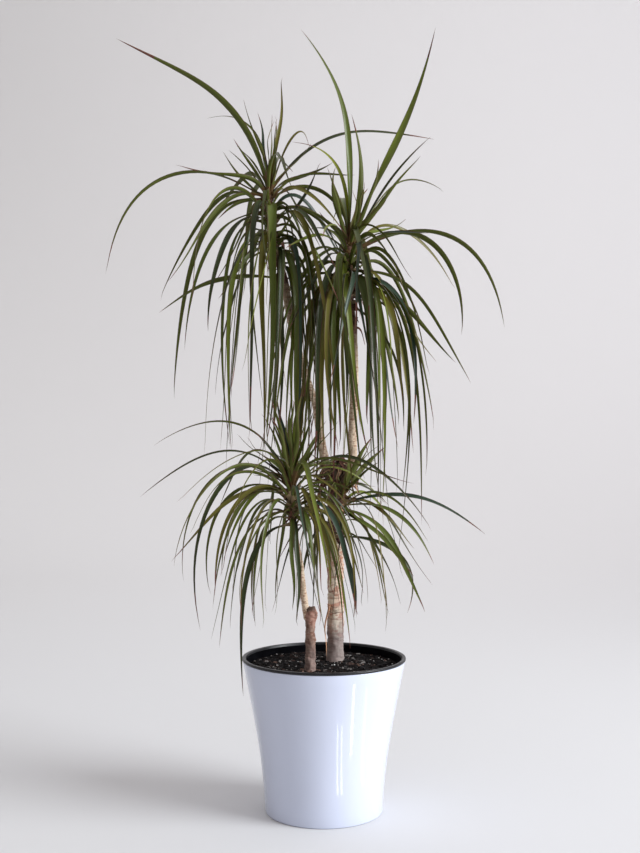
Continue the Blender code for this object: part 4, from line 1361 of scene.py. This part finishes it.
def tier_of(crown, height):
    """Name of the crown's piece that a leaf rooted at a height belongs to."""
    cuts = sorted(crown["splits"])
    words = ("skirt", "arching_leaves", "spears") if len(cuts) == 2 else ("skirt", "spears")
    return crown["name"] + "_" + words[sum(height >= cut for cut in cuts)]


def leaf_root(places, height, heading, out=ROOT_OUT):
    """Where a leaf leaves its stem, from its height in millimetres and its heading."""
    return centre_line(places, height * MM) + level(math.radians(heading)) * out


class DRAGONTREE_OT_leaves(bpy.types.Operator):
    """Grow the leaves of the four crowns"""
    bl_idname = "dragontree.leaves"
    bl_label = "Leaves"

    def deal(self, crown, sizes, trees, tiers):
        """Grow a crown's outline leaves, then those that its rule deals out."""
        chance = random.Random(crown["seed"])
        looks = random.Random(crown["seed"] + 100)
        clasp = crown["radius"] * CLASP
        tones = {row: tone for tone, rows in crown["tones"].items() for row in rows}
        for index, leaf in enumerate(crown["leaves"]):
            root = leaf_root(crown["stem"], *leaf[:2])
            leaf = slimmed(faced(leaf, looks), crown)
            swing = leaf[8] * MM if len(leaf) > 8 else 0.0
            made = leaf_rings(root, leaf, swing, sizes, looks.uniform(0, 6), clasp)
            age = (crown["top"] - leaf[0]) / (crown["top"] - crown["floor"])
            tone = tones.get(index) or self.tone(crown, age, looks)
            self.keep(tiers, tier_of(crown, leaf[0]), made, tone, age, looks)
        for index, age in enumerate(crown_ages(crown, sizes.fullness)):
            for attempt in range(ATTEMPTS):
                leaf, sway = fill_leaf(crown, age, index, attempt, chance)
                root = leaf_root(crown["stem"], *leaf[:2])
                ripple = chance.uniform(0, 6)
                made = leaf_rings(root, slimmed(leaf, crown), sway, sizes, ripple, clasp)
                if fits(*made, crown["name"], trees):
                    tone = self.tone(crown, age, looks)
                    self.keep(tiers, tier_of(crown, leaf[0]), made, tone, age, looks)
                    break

    def keep(self, tiers, name, made, tone, age, looks):
        """Put a leaf with the others of its tier, its base red when young."""
        base = "young_base" if age < 0.25 else "old_base"
        base_end = looks.uniform(0.06, 0.13) if age < 0.25 else looks.uniform(0.02, 0.05)
        faces, slots = leaf_faces(made[0], tone, base, looks.uniform(0.84, 0.985), base_end)
        tiers.setdefault(name, Heap()).add_leaf(*made, faces, slots)

    def tone(self, crown, age, looks):
        """Young leaves are lighter, old ones darker."""
        weights = (crown["fresh"], 1.1 - 0.5 * age, 0.8, 0.5 + age, 0.30 + 0.4 * age)
        return looks.choices(USUAL_TONES, weights)[0]

    def execute(self, context):
        sizes = context.scene.dragontree_leaves
        trees, tiers = limb_trees(), {}
        for crown in CROWNS:
            self.deal(crown, sizes, trees, tiers)
        materials = leaf_materials(sizes.margin_colour)
        for name, heap in tiers.items():
            thing = heap.thing(name)
            smooth(thing, degrees=45)
            finish_piece(thing, name + "_leaves", materials, [name])
        return {"FINISHED"}


class DRAGONTREE_OT_crown_stems(bpy.types.Operator):
    """Grow the leafy stem inside each crown, with its dry leaf bases"""
    bl_idname = "dragontree.crown_stems"
    bl_label = "Crown Stems"

    def dry_bases(self, name, places, heights, longest, out, leaves, chance, nodes, dry):
        """Short dead leaf ends round a stem, one at each height in millimetres."""
        heap = Heap()
        for stub, height in enumerate(heights):
            heading = stub * GOLDEN_ANGLE + chance.uniform(-25, 25)
            long = longest * chance.uniform(0.4, 1.0)
            leaf = (height, heading, long * 0.62, -long * chance.uniform(0.1, 0.9),
                    chance.uniform(20, 60), chance.uniform(-110, -60),
                    chance.uniform(-50, 50), chance.uniform(7, 12))
            root = leaf_root(places, height, heading, out)
            sway = chance.uniform(-0.006, 0.006)
            made = leaf_rings(root, leaf, sway, leaves, ripple=stub, clasp=0.006)
            faces = leaf_faces(made[0], "tip", "tip", tip_start=1.0, base_end=0.0)[0]
            heap.add_leaf(*made, faces, chance.choices((0, 1), (0.7, 0.3)) * len(faces))
        stubs = heap.thing(name)
        smooth(stubs, degrees=45)
        finish_piece(stubs, name, dry, nodes)

    def withered_leaf(self, leaves):
        """The leaf that hangs to the soil in front of the tall cane."""
        root = centre_line(TALL_CANE, DRY_LEAF[0] * MM) + Vector((-0.009, -0.009, 0.0))
        made = leaf_rings(root, DRY_LEAF, 0.004, leaves, ripple=0.5, clasp=0.004)
        faces = leaf_faces(made[0], "tip", "tip", tip_start=1.0, base_end=0.0)[0]
        heap = Heap()
        heap.add_leaf(*made, faces, [0] * len(faces))
        withered = heap.thing("withered_leaf")
        smooth(withered, degrees=45)
        straw = dry_material("withered_blade", (0.40, 0.215, 0.125), 90.0)
        finish_piece(withered, "withered_leaf", [straw], ["tall_cane"])

    def execute(self, context):
        sizes = context.scene.dragontree_limbs
        leaves = context.scene.dragontree_leaves
        bark = bark_material("crown_bark", (0.15, 0.085, 0.062), sizes.scar_colour, 80.0)
        dry = dry_materials(DRY_BASE_COLOURS, 160.0)
        for number, crown in enumerate(CROWNS):
            name, floor, top, stubs = (crown[key] for key in ("name", "floor", "top", "stubs"))
            nodes = [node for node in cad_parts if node.startswith(name)]
            chance = random.Random(61 + number)
            rings = scarred_rings(
                crown["stem"], floor * MM, top * MM, crown_stem_radius(crown),
                sizes.stem_scar_pitch, sizes.scar_depth * 1.4, chance)
            thing = grow_limb(rings, sizes.stem_sides, lean=0.30, wander=0.0016)
            roughen(thing, name + "_grain", size=0.004, strength=0.0010)
            finish_piece(thing, name + "_stem", [bark], nodes)
            smooth(thing, degrees=50)
            heights = [floor + 6 + (top - floor) * 0.72 * stub / stubs for stub in range(stubs)]
            longest = DRY_BASE_LONGEST * (0.5 + 0.5 * crown["scale"])
            self.dry_bases(name + "_dry_bases", crown["stem"], heights, longest, ROOT_OUT,
                           leaves, chance, nodes, dry)
        heights = [CUT_TOP_LOW + CUT_TOP_SPAN * stub / CUT_TOP_STUBS for stub in range(CUT_TOP_STUBS)]
        self.dry_bases("tall_cane_dry_bases", TALL_CANE, heights, CUT_TOP_LONGEST, CUT_TOP_OUT,
                       leaves, random.Random(71), ["tall_cane"], dry)
        self.withered_leaf(leaves)
        return {"FINISHED"}


def area_light(name, power, place, aim, size, colour):
    """A rectangular soft light that faces a point."""
    light = bpy.data.lights.new(name, "AREA")
    light.shape = "RECTANGLE"
    light.size, light.size_y = size
    light.energy = power
    light.color = colour
    lamp = bpy.data.objects.new(name, light)
    lamp.location = place
    lamp.rotation_euler = (Vector(aim) - Vector(place)).to_track_quat("-Z", "Y").to_euler()
    bpy.context.scene.collection.objects.link(lamp)
    return lamp


class DRAGONTREE_OT_stage(bpy.types.Operator):
    """Set up the floor with its round sweep, the lights and the camera"""
    bl_idname = "dragontree.stage"
    bl_label = "Stage"

    def add_sweep(self, radius, height):
        """The floor that curves up into a round wall, with painted shade that darkens it towards the
        left, away from the window.
        """
        deselect_all()
        bpy.ops.mesh.primitive_circle_add(
            vertices=96, radius=radius, fill_type="NGON", location=(0.0, 0.0, -0.0002))
        sweep = bpy.context.object
        bpy.ops.object.transform_apply(location=True)
        bpy.ops.object.mode_set(mode="EDIT")
        bpy.ops.mesh.select_mode(type="EDGE")
        bpy.ops.mesh.select_all(action="SELECT")
        bpy.ops.mesh.extrude_edges_move(TRANSFORM_OT_translate={"value": (0.0, 0.0, height)})
        select_rings(sweep, lambda out, up: up < 0.1)
        bpy.ops.mesh.bevel(offset=height * 0.6, segments=20, affect="EDGES")
        turn_faces(inside=True)
        bpy.ops.object.mode_set(mode="OBJECT")
        sweep.name = "floor_and_sweep"
        look = Look("pale_paint_with_painted_shade", PAINT, 0.85, 0.2)
        # Painted shade and light: the paint darkens to the left and grows lighter and cooler to the
        # right, towards the window.
        across = look.spread(look.axis("X"), 0.0, 1.0, -radius, radius)
        look.give("Base Color", look.ramp(across, PAINT_SHADED_LEFT, PAINT_LIT_RIGHT, 0.0, 1.0))
        sweep.data.materials.append(look.material)
        smooth(sweep, degrees=60)

    def add_lights(self, sizes, scene):
        """The window, the strips on the floor, the wall's light and the room's."""
        window = area_light("window", sizes.window_power, *WINDOW)
        window.data.spread = math.radians(WINDOW_SPREAD)
        for number, (heading, near, far, wide, power) in enumerate(FLOOR_STRIPS):
            turn = math.radians(heading)
            place = level(turn - math.pi / 2) * ((near + far) / 2)
            place.z = 0.002
            lamp = area_light("floor_strip_%d" % number, power, place, (0.0, 0.0, 1.0),
                              (wide, far - near), (1.0, 1.0, 1.0))
            lamp.rotation_euler = (math.pi, 0.0, turn)
            lamp.visible_camera = False
        area_light("wall_washer", sizes.wall_power, *WALL_WASHER)
        world = bpy.data.worlds.new("room")
        scene.world = world
        world.use_nodes = True
        room = world.node_tree.nodes["Background"]
        room.inputs["Color"].default_value = ROOM_COLOUR
        room.inputs["Strength"].default_value = sizes.room_light

    def execute(self, context):
        sizes = context.scene.dragontree_stage
        self.add_sweep(sizes.sweep_radius, sizes.sweep_height)
        self.add_lights(sizes, context.scene)
        camera = bpy.data.cameras.new("front_camera")
        camera.sensor_width = SENSOR
        camera.lens = CAMERA_FOCUS_PIXELS * SENSOR / PHOTO_HEIGHT_PIXELS
        viewer = bpy.data.objects.new("front_camera", camera)
        viewer.location = CAMERA_PLACE
        viewer.rotation_euler = (math.pi / 2 + CAMERA_TILT, 0.0, 0.0)
        context.scene.collection.objects.link(viewer)
        context.scene.camera = viewer
        context.scene.view_settings.view_transform = "Standard"
        return {"FINISHED"}


class DRAGONTREE_PT_panel(bpy.types.Panel):
    """Steps that build the potted dragon tree"""
    bl_label = "Dragon Tree"
    bl_idname = "DRAGONTREE_PT_panel"
    bl_space_type = "VIEW_3D"
    bl_region_type = "UI"
    bl_category = "Dragon Tree"

    def draw(self, context):
        for operator in OPERATORS:
            self.layout.operator(operator.bl_idname)


GROUPS = {
    "dragontree_pot": DragonTreePot,
    "dragontree_limbs": DragonTreeLimbs,
    "dragontree_leaves": DragonTreeLeaves,
    "dragontree_stage": DragonTreeStage,
}
OPERATORS = (
    DRAGONTREE_OT_outer_pot, DRAGONTREE_OT_growing_pot, DRAGONTREE_OT_soil,
    DRAGONTREE_OT_canes, DRAGONTREE_OT_stems, DRAGONTREE_OT_crown_stems,
    DRAGONTREE_OT_leaves, DRAGONTREE_OT_stage,
)


def register():
    for name, group in GROUPS.items():
        bpy.utils.register_class(group)
        setattr(bpy.types.Scene, name, PointerProperty(type=group))
    for operator in OPERATORS:
        bpy.utils.register_class(operator)
    bpy.utils.register_class(DRAGONTREE_PT_panel)


def unregister():
    bpy.utils.unregister_class(DRAGONTREE_PT_panel)
    for operator in reversed(OPERATORS):
        bpy.utils.unregister_class(operator)
    for name, group in GROUPS.items():
        delattr(bpy.types.Scene, name)
        bpy.utils.unregister_class(group)


def main():
    register()
    bpy.ops.dragontree.outer_pot()
    bpy.ops.dragontree.growing_pot()
    bpy.ops.dragontree.soil()
    bpy.ops.dragontree.canes()
    bpy.ops.dragontree.stems()
    bpy.ops.dragontree.crown_stems()
    bpy.ops.dragontree.leaves()
    bpy.ops.dragontree.stage()


if __name__ == "__main__":
    main()
